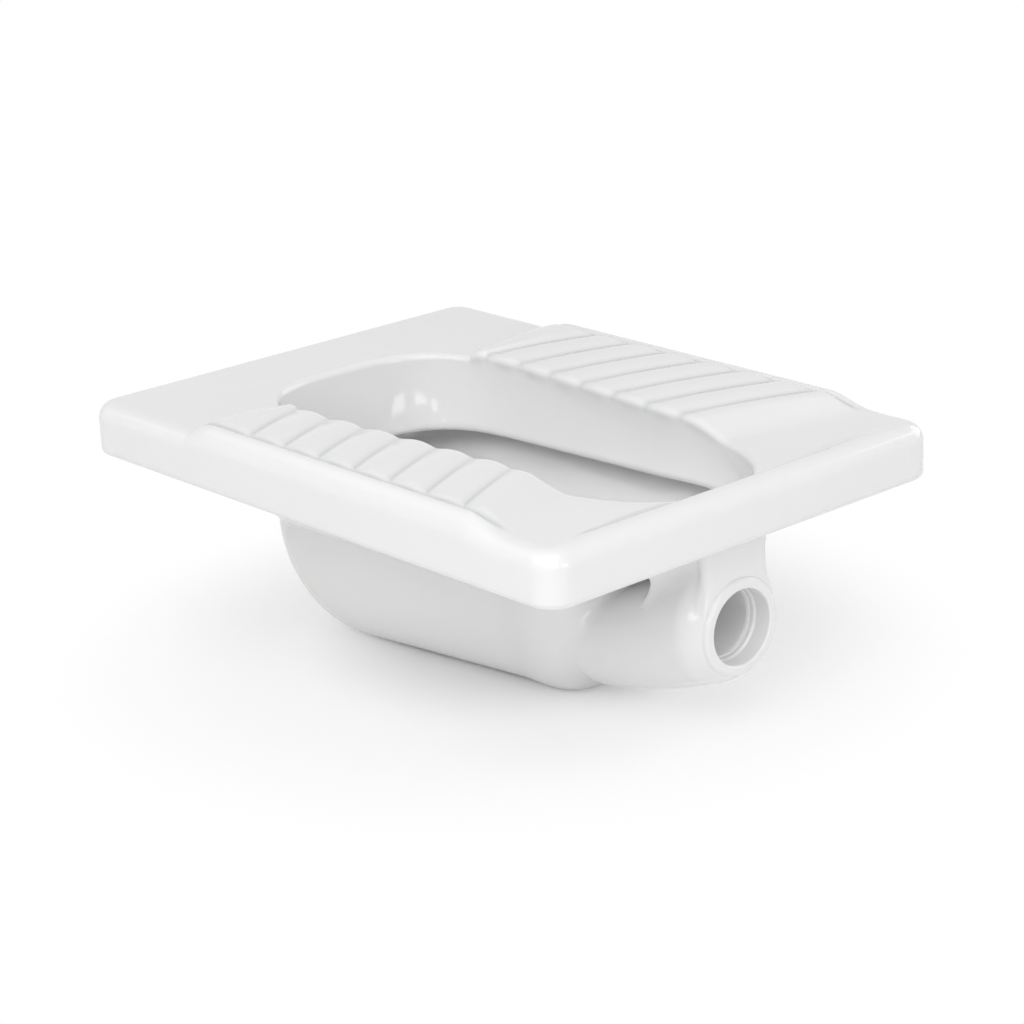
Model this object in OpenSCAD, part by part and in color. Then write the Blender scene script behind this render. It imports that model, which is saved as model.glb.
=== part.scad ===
// Squat toilet pan in glazed white vitreous china, with its trap cast on.
// X runs along the pan towards the outlet, Y across it, Z up.
// The origin is the plan centre of the deck, at the level the pan stands on.

/* [Deck] */
// Length of the deck
deck_len = 600; // [540:5:680]
// Width of the deck
deck_w = 435; // [400:5:500]
// Height of the deck's edge above the surface the pan stands on
deck_h = 214; // [208:1:230]
// Depth of the skirt round the deck
skirt_d = 47; // [40:1:54]
// Wall of the deck and of its skirt
deck_wall = 13; // [10:0.5:14]
// Corner radius of the deck in plan
corner_r = 24; // [18:1:34]
// Radius of the deck's top edge
edge_r = 15; // [10:1:17]
// Radius of the skirt's foot
foot_r = 6; // [3:1:8]
// Width of the level shoulder inside the top edge
shoulder_w = 5; // [2:1:8]

/* [Opening] */
// Land between the deck's edge and the opening, at the wide end
land_back = 85; // [80:1:94]
// Land between the deck's edge and the opening, at the outlet end
land_front = 33; // [33:1:40]
// Land beside the opening, at the wide end
land_wide = 109.5; // [107.5:0.5:117.5]
// Land beside the opening, at the outlet end
land_narrow = 123.5; // [121.5:0.5:129.5]
// Length of the opening's rounded wide end
round_wide = 103; // [95:1:111]
// Length of the opening's rounded outlet end
round_narrow = 137; // [127:1:147]
// Fall of the deck to the opening at the wide end
dish_wide = 4.5; // [2:0.5:7]
// Fall of the deck to the opening at the outlet end
dish_narrow = 10.5; // [7:0.5:12]

/* [Flush rim] */
// Wall of the rim's lip
lip_wall = 8; // [7:0.5:8.5]
// Radius of the rounded edge of the opening
rim_r = 6; // [4:0.5:6.5]
// Depth of the lip under the deck's edge, wide end
lip_d_wide = 77; // [70:1:80]
// Depth of the lip under the deck's edge, outlet end
lip_d_narrow = 49.5; // [46:0.5:52]
// How far the lip leans into the opening
lip_lean = 12; // [8:1:13]
// Width of the flush channel behind the lip
channel_w = 17; // [13:1:18]
// Depth of the flush channel's floor under the deck's edge
channel_d = 98; // [94:1:100]

/* [Footrests] */
// Distance from the deck's wide end to a footrest
rest_start = 146; // [140:1:150]
// Distance from a footrest's start to its first groove, at the border
first_groove = 69; // [65:0.5:75]
// Distance from the last groove to the deck's outlet end, at the border
last_groove = 115.6; // [112:0.1:125]
// Number of grooves between the ribs
groove_count = 7; // [5:1:8]
// Height of a rib over its grooves
rib_h = 4; // [2:0.5:5]
// How far a groove runs along the deck for each millimetre across it
rib_slant = 0.57; // [0.4:0.01:0.62]
// Distance of the border's ridge from the deck's side
border_in = 18.5; // [17.5:0.5:21.5]
// Height of the border over the deck's edge
border_h = 10.3; // [8:0.1:12]
// Height of the grooves over the deck's edge, at the border
groove_rise = 8; // [6:0.5:9]
// Height of the grooves over the deck's edge, at the opening
groove_low = 0.5; // [0:0.5:2]
// Length of the ramp at the outlet end
ramp_len = 28; // [20:1:32]

/* [Bowl] */
// Wall of the bowl and the trap
china = 9; // [8:0.5:9.5]
// Length of the ledge between the sump and the opening's outlet end
ledge_len = 107; // [104:1:111]
// How far the underside's flat lies inside the opening at the wide end
foot_in_back = 97; // [89:1:105]
// How far the underside's flat lies inside the opening, beside the wide end
foot_in_wide = 48; // [44:1:54]
// How far the underside's flat lies inside the opening, beside the outlet end
foot_in_narrow = 61; // [57:1:64]
// How far the underside's flat lies behind the bowl's front wall
foot_in_front = 36; // [33:1:40]
// Thickness of the bowl's floor
floor_t = 11; // [9:0.5:13]

/* [Trap] */
// Bore of the outlet
outlet_bore = 64; // [58:0.5:66]
// Outside diameter of the outlet behind its rounded mouth
outlet_od = 83; // [80:0.5:86]
// Height of the outlet's middle under the deck's edge
outlet_d = 123; // [120:1:126]
// Distance of the outlet's mouth from the deck's edge, inwards
outlet_back = 14.5; // [12:0.5:17]
// Length of the outlet's socket
socket_len = 24; // [22:1:26]
// Half width of the trap's body
trap_half_w = 60; // [56:1:62]
// Height of the trap's underside above the standing level
trap_lift = 10; // [8:0.5:11]
// Half width of the throat between the sump and the trap
throat_half_w = 34; // [28:1:36]
// Height of the throat
throat_h = 32; // [28:1:34]
// Height of the throat's sill over the bowl's floor
throat_sill = 6; // [5:0.5:9]
// Half width of the support under the deck at its front
support_half_w = 35; // [31:0.5:37]
// Half width of the support at its waist
support_waist = 28; // [24:1:31]

/* [Flush inlet] */
// Bore of the flush inlet
inlet_bore = 36; // [32:0.5:38]
// Outside diameter of the flush inlet
inlet_od = 50; // [46:0.5:52]
// Length of the flush inlet
inlet_len = 34; // [28:1:36]

/* [Hidden] */
$fn = 64;

// Points round a quarter of an outline, at its end and corner, along a side, and round a section
quarter_n = 14;
end_n = 4;
corner_n = 6;
side_n = 12;
section_n = 32;

// Shapes of the outline's ends: 2 is an ellipse, more is squarer
wide_power = 3;
narrow_power = 2.2;
sump_power = 3.2;

white = [0.94, 0.94, 0.93];

plan_x = deck_len / 2;
plan_y = deck_w / 2;
open_back = plan_x - land_back;
open_front = plan_x - land_front;
open_half_wide = plan_y - land_wide;
open_half_narrow = plan_y - land_narrow;
wide_x = open_back - round_wide;
narrow_x = open_front - round_narrow;
sump_front = open_front - ledge_len;
outlet_x = plan_x - outlet_back;
outlet_z = deck_h - outlet_d;
socket_x = outlet_x - socket_len;
bowl_off = lip_wall + channel_w;

// Clearances between members, and overlap of a cut past the face it opens
end_gap = 0.5;
rest_gap = 0.2;
cut = 1;

// ---- Outlines ----

function mix(a, b, t) = a + (b - a) * t;

function smooth(t) = t <= 0 ? 0 : t >= 1 ? 1 : t * t * (3 - 2 * t);

// Half an outline, from its tip at the outlet end round +Y to its tip at the wide end.
// wide and narrow are [where the end starts, its reach, its half width, its power].
function half_outline(wide, narrow) = concat(
    [for (j = [0:quarter_n]) let (a = 90 * j / quarter_n)
        [narrow[0] + (narrow[1] - narrow[0]) * pow(cos(a), 2 / narrow[3]),
         narrow[2] * pow(sin(a), 2 / narrow[3])]],
    [for (j = [1:side_n - 1])
        [mix(narrow[0], -wide[0], j / side_n), mix(narrow[2], wide[2], j / side_n)]],
    [for (j = [quarter_n:-1:0]) let (a = 90 * j / quarter_n)
        [-wide[0] - (wide[1] - wide[0]) * pow(cos(a), 2 / wide[3]),
         wide[2] * pow(sin(a), 2 / wide[3])]]);

function whole(half) = concat(half,
    [for (j = [len(half) - 2:-1:1]) [half[j][0], -half[j][1]]]);

// Outline of the opening, moved outwards by off
function opening(off) = whole(half_outline(
    [wide_x, open_back + off, open_half_wide + off, wide_power],
    [narrow_x, open_front + off, open_half_narrow + off, narrow_power]));

// Half width of the opening along the pan
function past(reach, power) = pow(1 - pow(min(1, reach), power), 1 / power);
function open_half(x) = x > narrow_x
    ? open_half_narrow * past((x - narrow_x) / (open_front - narrow_x), narrow_power)
    : x < -wide_x
    ? open_half_wide * past((-x - wide_x) / (open_back - wide_x), wide_power)
    : mix(open_half_wide, open_half_narrow, (x + wide_x) / (wide_x + narrow_x));

// Outline of the deck, moved inwards by inset, with a point for each of the opening's
function deck_outline(inset) = let (
    r = max(corner_r - inset, 0.5),
    cx = plan_x - inset - r,
    cy = plan_y - inset - r,
    rest_n = quarter_n - end_n - corner_n)
    whole(concat(
        [for (j = [0:end_n - 1]) [cx + r, cy * j / end_n]],
        [for (j = [0:corner_n]) let (a = 90 * j / corner_n) [cx + r * cos(a), cy + r * sin(a)]],
        [for (j = [1:rest_n]) [mix(cx, narrow_x, j / rest_n), cy + r]],
        [for (j = [1:side_n - 1]) [mix(narrow_x, -wide_x, j / side_n), cy + r]],
        [for (j = [0:rest_n - 1]) [mix(-wide_x, -cx, j / rest_n), cy + r]],
        [for (j = [0:corner_n]) let (a = 90 * j / corner_n) [-cx - r * sin(a), cy + r * cos(a)]],
        [for (j = [end_n - 1:-1:0]) [-cx - r, cy * j / end_n]]));

// Fall of the deck at the opening's edge, and depth of the lip, along the pan
function along(x) = min(max((x + open_back) / (open_back + open_front), 0), 1);
function dish(x) = -mix(dish_wide, dish_narrow, along(x));
function lip_depth(x) = mix(lip_d_wide, lip_d_narrow, along(x));

function at_height(outline, z) = [for (p = outline) [p[0], p[1], z]];

// ---- Skins ----

// Faces between rings first to last; each ring has n points
function skin(first, last, n) = [for (k = [first:last - 1]) each bridge(k, k + 1, n)];

function bridge(a, b, n) = [for (i = [0:n - 1]) let (j = (i + 1) % n) each [
    [a * n + i, a * n + j, b * n + j],
    [a * n + i, b * n + j, b * n + i]]];

function cap(k, n) = [[for (i = [0:n - 1]) k * n + i]];
function back_cap(k, n) = [[for (i = [n - 1:-1:0]) k * n + i]];

// A solid between its first and last ring
module skinned(rings) {
    n = len(rings[0]);
    last = len(rings) - 1;
    polyhedron([for (r = rings) each r], concat(skin(0, last, n), back_cap(0, n), cap(last, n)),
               convexity = 10);
}

// A tube-like solid whose section is the closed loop of rings
module ring_solid(rings) {
    n = len(rings[0]);
    last = len(rings) - 1;
    polyhedron([for (r = rings) each r], concat(skin(0, last, n), bridge(last, 0, n)),
               convexity = 8);
}

// ---- Deck ----

deck_inner = opening(lip_wall);
deck_outer = deck_outline(edge_r + shoulder_w);
under_outer = deck_outline(deck_wall);

module deck() {
    color(white) ring_solid(concat(
        [[for (p = deck_inner) [p[0], p[1], deck_h + dish(p[0])]]],
        [at_height(deck_outer, deck_h)],
        [for (a = [0:18:90])
            at_height(deck_outline(edge_r * (1 - sin(a))), deck_h - edge_r * (1 - cos(a)))],
        [for (a = [0:30:90])
            at_height(deck_outline(foot_r * (1 - cos(a))), deck_h - skirt_d + foot_r * (1 - sin(a)))],
        [at_height(under_outer, deck_h - skirt_d)],
        [at_height(under_outer, deck_h - deck_wall)],
        [[for (p = deck_inner) [p[0], p[1], deck_h + dish(p[0]) - deck_wall]]]));
}

// Height of the deck's underside at point p of the line numbered i from opening to skirt
function underside(p, i) = deck_h - deck_wall + dish(deck_inner[i][0])
    * (1 - min(1, norm(p - deck_inner[i]) / norm(under_outer[i] - deck_inner[i])));

// ---- Footrests ----

inner_y = (open_half_wide + open_half_narrow) / 2;
border_y = plan_y - border_in;
start_x = rest_start - plan_x;
first_groove_x = start_x + first_groove;
last_groove_x = plan_x - last_groove;
rib_pitch = (last_groove_x - first_groove_x) / (groove_count - 1);
end_in_x = last_groove_x - 24;
end_out_x = last_groove_x + 44;
groove_lean = rib_slant * (border_y - inner_y);

// Stations along a footrest:
// [x at inner_y, x at the border, how far from groove 0 to groove 1, share of full height]
rib_cuts = 5;
stations = concat(
    [[start_x - 4, start_x - 5, 0.2, 0], [start_x, start_x + 6, 0.25, 0.45],
     [start_x + 4, start_x + 16, 0.3, 0.88], [start_x + 6, start_x + 26, 0.4, 1],
     [start_x + 8, start_x + 36, 0.6, 1], [start_x + 9, first_groove_x - 18, 0.7, 1],
     [start_x + 9.5, first_groove_x - 9, 0.85, 1]],
    [for (g = [0:groove_count - 2]) for (j = [0:rib_cuts - 1]) let (
            q = first_groove_x + rib_pitch * (g + j / rib_cuts))
        [q - groove_lean, q, j / rib_cuts, 1]],
    [for (j = [0:6]) let (t = j / 6, q = mix(last_groove_x, end_out_x, t))
        [mix(last_groove_x - groove_lean, end_in_x, t), q, min(0.5, (q - last_groove_x) / rib_pitch),
         1 - smooth((q - end_out_x + ramp_len) / ramp_len)]]);

// Plan point of a station at distance y from the middle
function on_station(s, y) = y > border_y ? s[1]
    : mix(s[1], s[0], (border_y - y) / (border_y - inner_y));

// Height over the deck's edge of the surface under a footrest
function deck_top(x, y) = let (
        y0 = open_half(x) + lip_wall,
        y1 = plan_y - edge_r - shoulder_w,
        d = y - (plan_y - edge_r),
        e = open_half(x) + rim_r - y)
    d > 0 ? sqrt(max(0, edge_r * edge_r - d * d)) - edge_r
    : e > 0 ? dish(x) - rim_r + sqrt(max(0, rim_r * rim_r - e * e))
    : dish(x) * (1 - min(1, max(0, (y - y0) / (y1 - y0))));

// Tread: [share of the way from the opening to the border, share of full height]
tread = [[0.012, 0], [0.018, 0.5], [0.04, 0.86], [0.1, 1], [0.35, 1], [0.65, 1], [0.95, 1]];
// Shares of the border's height at the points round the deck's top edge
border = [0.98, 0.84, 0.46, -0.02, -0.5];

function round_y(a) = plan_y - edge_r * (1 - sin(a));
function round_z(a) = edge_r * (cos(a) - 1);

function rest_section(s) = let (
        inner = open_half(s[0]),
        top = [for (t = tread) let (
                y = mix(inner, border_y, t[0]),
                x = on_station(s, y),
                rise = groove_low + (groove_rise - groove_low) * (1 - pow(1 - t[0], 1.6)),
                plain = deck_top(x, y) + rest_gap)
            [x, y, mix(plain, max(plain, rise + rib_h * sin(180 * s[2])), s[3] * t[1])]],
        edge = [for (k = [0:len(border) - 1]) let (plain = round_z(18 * k) + rest_gap)
            [s[1], round_y(18 * k), mix(plain, max(plain, border_h * border[k]), s[3])]],
        side = [[s[1], plan_y, mix(rest_gap, edge_r * 0.4, s[3]) - edge_r]],
        round = [for (a = [90:-18:0]) [s[1], round_y(a), round_z(a) + rest_gap / 2]],
        under = [for (y = [border_y - 2, inner + lip_wall, inner + rim_r * 0.6, inner + rim_r * 0.2])
            let (x = on_station(s, y))
            [x, y, deck_top(x, y) + rest_gap / 2]])
    [for (p = concat(top, edge, side, round, under)) [p[0], p[1], deck_h + p[2]]];

module footrest() {
    skinned([for (s = stations) rest_section(s)]);
}

module left_footrest() {
    color(white) footrest();
}

module right_footrest() {
    color(white) mirror([0, 1, 0]) footrest();
}

// ---- Flush rim ----

function rim_ring(off, drop) = [for (p = opening(off)) [p[0], p[1], deck_h + dish(p[0]) - drop]];
function lip_ring(off, rise) = [for (p = opening(off)) [p[0], p[1], deck_h - lip_depth(p[0]) + rise]];

module flush_rim() {
    bead = lip_wall * 0.4;
    color(white) ring_solid(concat(
        [rim_ring(lip_wall, 0), rim_ring(lip_wall, deck_wall), rim_ring(lip_wall - 1, deck_wall + 8)],
        [lip_ring(lip_wall - lip_lean + 1.5, 6), lip_ring(lip_wall - lip_lean - 0.5, bead / 2),
         lip_ring(lip_wall / 2 - lip_lean + 0.5, 0),
         lip_ring(-lip_lean + 0.5, bead / 2), lip_ring(-lip_lean, 6)],
        [rim_ring(0, rim_r)],
        [for (a = [67.5:-22.5:0]) rim_ring(rim_r * (1 - sin(a)), rim_r * (1 - cos(a)))]));
}

// ---- Bowl ----

// Rings of the bowl's outside, from the deck down: [depth under the deck's edge,
// reach back, half width wide, start of the front, reach front, half width narrow, power]
tuck_d = 14;
waist_d = channel_d + tuck_d;
back_off = bowl_off + china;
front_off = lip_wall + end_gap + china;

top_row = [0, open_back + back_off, open_half_wide + back_off, narrow_x,
           open_front + front_off, open_half_narrow + back_off, narrow_power];
neck_row = [skirt_d - 14, open_back + back_off, open_half_wide + back_off, narrow_x,
            open_front + front_off, open_half_narrow + back_off, narrow_power];
ledge_row = [lip_d_narrow + 6.5, open_back + back_off, open_half_wide + back_off, narrow_x,
             open_front + front_off - 10, open_half_narrow + back_off - 2, narrow_power];
channel_row = [channel_d - 18, open_back + back_off, open_half_wide + back_off - 4, narrow_x - 12,
               open_front - 42, open_half_narrow + back_off - 14, 2.5];
shelf_row = [channel_d, open_back + back_off, open_half_wide + channel_w, narrow_x - 25,
             sump_front + 2 * china, open_half_narrow + 4, 2.9];
waist_row = [waist_d, open_back + 7, open_half_wide + 6, narrow_x - 35,
             sump_front + 2, open_half_narrow - 10, sump_power];
foot_front = sump_front - foot_in_front;

// Below the waist the wall turns in like a quarter of an ellipse, more at the wide end
function below_waist(a) = let (c = 1 - cos(a)) [
    mix(waist_d, deck_h, sin(a)),
    mix(waist_row[1], open_back - foot_in_back, c),
    mix(waist_row[2], open_half_wide - foot_in_wide, c),
    mix(waist_row[3], narrow_x - 45, c),
    mix(waist_row[4], foot_front, c),
    mix(waist_row[5], open_half_narrow - foot_in_narrow, c),
    sump_power];

rows = concat([top_row, neck_row, ledge_row, channel_row, shelf_row],
              [for (a = [0:15:90]) below_waist(a)]);

// Where the wall slopes, its inner ring is raised too, to keep the wall's thickness
slope_lift = [0, 1, 4, 6, 4];

function bowl_ring(inset, r) = whole(half_outline(
    [wide_x, r[1] - inset, r[2] - inset, wide_power],
    [r[3], r[4] - inset, r[5] - inset, r[6]]));

// Share of the way from the waist down to the foot
function below(z) = min(1, max(0, (deck_h - z - waist_d) / (deck_h - waist_d)));

module bowl_shell() {
    outer_top = bowl_ring(0, top_row);
    inner_top = bowl_ring(china, top_row);
    outer = concat(
        [[for (i = [0:len(outer_top) - 1]) let (p = outer_top[i]) [p[0], p[1], underside(p, i)]]],
        [for (k = [1:len(rows) - 1]) at_height(bowl_ring(0, rows[k]), deck_h - rows[k][0])]);
    // The floor lies floor_t above the underside
    inner = concat(
        [for (k = [len(rows) - 2:-1:1]) let (r = rows[k], z = deck_h - r[0],
                lift = k < len(slope_lift) ? slope_lift[k] : floor_t * pow(below(z), 2))
            at_height(bowl_ring(china, r), z + lift)],
        [[for (i = [0:len(inner_top) - 1]) let (p = inner_top[i]) [p[0], p[1], underside(p, i)]]]);
    rings = concat(outer, inner);
    n = len(outer[0]);
    foot = len(outer);
    last = len(rings) - 1;
    polyhedron([for (r = rings) each r],
        concat(skin(0, foot - 1, n), skin(foot, last, n), bridge(last, 0, n),
               cap(foot - 1, n), back_cap(foot, n)),
        convexity = 10);
}

module bowl() {
    color(white) difference() {
        bowl_shell();
        throat_plug();
        translate([-open_back - back_off - cut, 0, deck_h - inlet_d])
            rotate([0, 90, 0]) cylinder(d = inlet_bore, h = china + 2 * cut);
    }
}

// ---- Trap ----

// Where the bowl's front wall stands at a point of its outside, below the waist
function front_x(y, z) = let (r = below_waist(asin(below(z))))
    mix(r[3], r[4], past(abs(y) / r[5], r[6]));

// Sections: [x, middle height, half height, half width]
throat_z = floor_t + throat_sill + throat_h / 2;
trap_top = deck_h - waist_d - 6;
root_r = outlet_od / 2 + 12;
trap_n = 9;
trap_outer = [for (j = [0:trap_n]) let (
        t = j / trap_n,
        low = mix(trap_lift, outlet_z - root_r, pow(t, 1.6)),
        high = mix(trap_top, outlet_z + root_r, t))
    [mix(sump_front - 2, socket_x, t), (low + high) / 2, (high - low) / 2,
     mix(trap_half_w, root_r, smooth(t)) + 2 * pow(1 - min(1, 5 * t), 2)]];

// The outlet's bore steps in twice, to hold the pipe's seal and to stop the pipe
lip_round = 4;
seal_r = outlet_bore / 2;
step_r = seal_r - 1.5;
stop_r = seal_r - 3;
seal_len = 16;
step_len = 5;

// The passage rises over a weir to the outlet:
// [share of the trap's length, share of the rise, half height, half width]
passage = [for (s = [
        [0.06, 0.026, throat_h / 2 + 1, throat_half_w + 2],
        [0.197, 0.26, throat_h / 2 + 12, throat_half_w + 4],
        [0.355, 0.707, throat_h / 2 + 13, throat_half_w + 3],
        [0.532, 1, stop_r - 6, stop_r + 6],
        [0.749, 1, stop_r - 3, stop_r + 2],
        [1, 1, stop_r, stop_r]])
    [mix(sump_front, socket_x, s[0]), mix(throat_z, outlet_z, s[1]), s[2], s[3]]];

function section(s) = [for (i = [0:section_n - 1]) let (a = 360 * i / section_n)
    [s[0], s[3] * cos(a), s[1] - s[2] * sin(a)]];

// A section laid on the bowl's front wall
function seated(s) = [for (p = section(s)) [front_x(p[1], p[2]), p[1], p[2]]];

module trap() {
    root = trap_outer[0];
    throat = [0, throat_z, throat_h / 2, throat_half_w + 1];
    color(white) ring_solid(concat(
        [seated(root)],
        [for (k = [1:trap_n]) section(trap_outer[k])],
        [for (k = [len(passage) - 1:-1:0]) section(passage[k])],
        [for (t = [0:0.25:0.75]) seated(mix(throat, root, t))]));
}

module throat_plug() {
    skinned([section([sump_front - 45, throat_z, throat_h / 2, throat_half_w]),
             section([sump_front + 8, throat_z, throat_h / 2, throat_half_w + 1])]);
}

// ---- Outlet ----

// Outside from its root to where its mouth rounds: [radius, distance from the root]
flare = [for (t = [0:0.25:1])
    [mix(root_r, outlet_od / 2, pow(t, 1.5)), t * (socket_len - lip_round)]];

module outlet_spigot() {
    r = outlet_od / 2 - lip_round;
    color(white) translate([socket_x, 0, outlet_z]) rotate([0, 90, 0]) difference() {
        rotate_extrude() union() {
            polygon(concat([[0, 0]], flare, [[0, socket_len - lip_round]]));
            square([r, socket_len]);
            translate([r, socket_len - lip_round]) circle(lip_round);
        }
        translate([0, 0, -cut]) cylinder(r = stop_r, h = socket_len);
        translate([0, 0, socket_len - seal_len - step_len]) cylinder(r = step_r, h = socket_len);
        translate([0, 0, socket_len - seal_len]) cylinder(r = seal_r, h = socket_len);
    }
}

// ---- Support between the trap and the deck ----

support_front = outlet_x - 4;
support_rear = mix(sump_front, socket_x, 0.58);
support_top = deck_h - skirt_d + 10;

module support_plan() {
    waist_x = mix(support_rear, support_front, 0.72);
    half = concat(
        [[support_front, 0], [support_front, support_half_w - 4],
         [support_front - 1.5, support_half_w - 1], [support_front - 4, support_half_w]],
        [for (t = [0:0.25:1]) [mix(support_front - 8, waist_x, t),
                               mix(support_half_w - 1, support_waist, smooth(t))]],
        [for (t = [0.25:0.25:1]) [mix(waist_x, support_rear, t),
                                  mix(support_waist, support_half_w + 5.5, t * t)]],
        [[support_rear, 0]]);
    polygon(concat(half, [for (i = [len(half) - 2:-1:1]) [half[i][0], -half[i][1]]]));
}

// A section whose flats touch the circle of radius r round the outlet's axis
function round_section(x, r) = let (c = r / cos(180 / section_n)) section([x, outlet_z, c, c]);

module trap_support() {
    color(white) difference() {
        translate([0, 0, outlet_z]) linear_extrude(support_top - outlet_z) support_plan();
        skinned(concat(
            [for (k = [5:trap_n]) section(trap_outer[k])],
            [for (f = flare) if (f[1] > 0) round_section(socket_x + f[1], f[0])],
            [round_section(outlet_x, outlet_od / 2)]));
        skinned([for (r = [neck_row, ledge_row, channel_row, shelf_row])
            at_height(bowl_ring(0, r), deck_h - r[0])]);
    }
}

// ---- Flush inlet ----

inlet_d = skirt_d + inlet_od / 2;

module flush_inlet() {
    bead = 3;
    r = inlet_od / 2;
    color(white) translate([-open_back - back_off, 0, deck_h - inlet_d]) rotate([0, -90, 0]) difference() {
        rotate_extrude() union() {
            square([r - bead, inlet_len]);
            square([r, bead]);
            translate([r - bead, inlet_len - bead]) circle(bead);
        }
        translate([0, 0, -cut]) cylinder(d = inlet_bore, h = inlet_len + 2);
    }
}

deck();
left_footrest();
right_footrest();
flush_rim();
bowl();
trap();
outlet_spigot();
trap_support();
flush_inlet();
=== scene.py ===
"""A squat toilet pan in glazed white china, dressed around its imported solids."""

import math

import bmesh
import bpy
import numpy as np
from bpy.props import FloatProperty, FloatVectorProperty, IntProperty, PointerProperty
from mathutils import Matrix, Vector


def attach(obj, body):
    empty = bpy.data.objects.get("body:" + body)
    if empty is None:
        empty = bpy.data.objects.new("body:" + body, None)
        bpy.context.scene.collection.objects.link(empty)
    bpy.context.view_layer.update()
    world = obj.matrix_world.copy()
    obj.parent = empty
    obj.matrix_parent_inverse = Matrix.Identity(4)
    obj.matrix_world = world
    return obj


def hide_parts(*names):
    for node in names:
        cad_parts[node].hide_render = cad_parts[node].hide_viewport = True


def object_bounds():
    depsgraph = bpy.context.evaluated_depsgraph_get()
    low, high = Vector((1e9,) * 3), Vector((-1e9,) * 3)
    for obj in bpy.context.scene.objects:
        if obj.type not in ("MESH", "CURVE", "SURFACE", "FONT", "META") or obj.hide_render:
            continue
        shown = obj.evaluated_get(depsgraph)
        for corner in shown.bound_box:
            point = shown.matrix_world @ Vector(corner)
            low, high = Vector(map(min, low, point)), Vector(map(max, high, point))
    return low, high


bl_info = {
    "name": "Squat toilet pan",
    "version": (1, 0, 0),
    "blender": (4, 5, 0),
    "location": "3D View > Sidebar > Squat pan",
    "description": "Builds a glazed china squat toilet pan with its cast trap",
    "category": "Object",
}

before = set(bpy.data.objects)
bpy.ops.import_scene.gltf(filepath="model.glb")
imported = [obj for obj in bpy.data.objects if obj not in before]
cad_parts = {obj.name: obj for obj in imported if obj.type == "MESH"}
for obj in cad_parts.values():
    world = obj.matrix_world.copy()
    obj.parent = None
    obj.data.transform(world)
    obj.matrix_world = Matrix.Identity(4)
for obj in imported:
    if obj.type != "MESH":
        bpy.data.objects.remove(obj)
CAD_LOW, CAD_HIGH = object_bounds()
MM = 0.001


# ---- Sizes and looks that a user would change ----


def length(name, description, default, low, high):
    return FloatProperty(name=name, description=description, default=default, min=low,
                         max=high, unit="LENGTH", precision=4)


class PanSizes(bpy.types.PropertyGroup):
    """Main sizes of the pan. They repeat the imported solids, so a change needs new solids."""

    deck_length: length("Deck length", "Length of the deck", round(CAD_HIGH.x - CAD_LOW.x, 4),
                        0.5, 0.7)
    deck_width: length("Deck width", "Width of the deck", round(CAD_HIGH.y - CAD_LOW.y, 4),
                       0.35, 0.5)
    deck_height: length("Deck height", "Height of the deck's edge over the floor", 0.214,
                        0.15, 0.3)
    skirt_depth: length("Skirt depth", "Depth of the skirt round the deck", 0.047, 0.03, 0.06)
    deck_wall: length("Deck wall", "Wall of the deck and its skirt", 0.013, 0.008, 0.016)
    corner_radius: length("Corner radius", "Radius of the deck's corners", 0.024, 0.01, 0.05)
    edge_radius: length("Edge radius", "Radius of the deck's top edge", 0.015, 0.005, 0.018)
    rim_radius: length("Rim radius", "Radius of the opening's rounded edge", 0.006,
                       0.003, 0.0065)
    lip_lean: length("Lip lean", "How far the lip curves into the opening", 0.012, 0.0, 0.02)
    china: length("China wall", "Wall of the bowl and the trap", 0.009, 0.006, 0.012)
    web_fillet: length("Web fillet", "Radius where cast members meet outside", 0.010,
                       0.003, 0.016)


class FootrestSizes(bpy.types.PropertyGroup):
    """Sizes of the ribbed treads"""

    first_groove: length("First groove", "Where the first groove meets the border, along the "
                         "deck", -0.085, -0.12, -0.06)
    last_groove: length("Last groove", "Where the last groove meets the border, along the deck",
                        0.1844, 0.12, 0.19)
    groove_count: IntProperty(name="Grooves", description="Number of grooves in a tread",
                              default=7, min=3, max=9)
    rib_height: length("Rib height", "Height of a rib over its grooves", 0.0034, 0.0, 0.006)
    rib_fullness: FloatProperty(name="Rib fullness", description="0 is a sharp wave, 1 is a "
                                "broad flat rib with narrow grooves", default=0.3, min=0.0,
                                max=1.0, subtype="FACTOR")
    border_height: length("Border height", "Height of the border over the deck's edge", 0.0103,
                          0.004, 0.013)
    crease_depth: length("Crease depth", "Depth of the crease between tread and border", 0.0018,
                         0.0, 0.003)


class GlazeLook(bpy.types.PropertyGroup):
    """Colour and surface of the glaze"""

    white: FloatVectorProperty(name="Glaze", description="Colour of the glaze", size=3,
                               subtype="COLOR", default=(0.90, 0.90, 0.895), min=0.0, max=1.0)
    # The shaded glaze colour is painted shade in the grooves and in the crease beside the border,
    # and also the dark end of the glaze's random tone
    shade_and_mottle: FloatVectorProperty(name="Shaded glaze", description="Colour where glaze gathers in "
                                "hollows", size=3, subtype="COLOR", default=(0.66, 0.67, 0.68),
                                min=0.0, max=1.0)
    biscuit: FloatVectorProperty(name="Bare china", description="Colour of the unglazed foot",
                                 size=3, subtype="COLOR", default=(0.72, 0.69, 0.64), min=0.0,
                                 max=1.0)
    roughness: FloatProperty(name="Roughness", description="Roughness of the fired glaze",
                             default=0.08, min=0.0, max=1.0, subtype="FACTOR")
    ripple: length("Ripple", "Height of the slow waves in the glaze", 0.00012, 0.0, 0.001)


class StageLook(bpy.types.PropertyGroup):
    """Light and backdrop"""

    sky: FloatProperty(name="Soft light", description="Strength of the even light all round",
                       default=0.36, min=0.0, max=2.0)
    softbox: FloatProperty(name="Softboxes", description="Scale of the softboxes' power",
                           default=1.0, min=0.0, max=5.0)


# ---- Plan and heights, in millimetres ----


def mix(a, b, t):
    return a + (b - a) * t


def smooth(t):
    """0 to 1 with level ends."""
    t = np.clip(t, 0, 1)
    return t * t * (3 - 2 * t)


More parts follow.
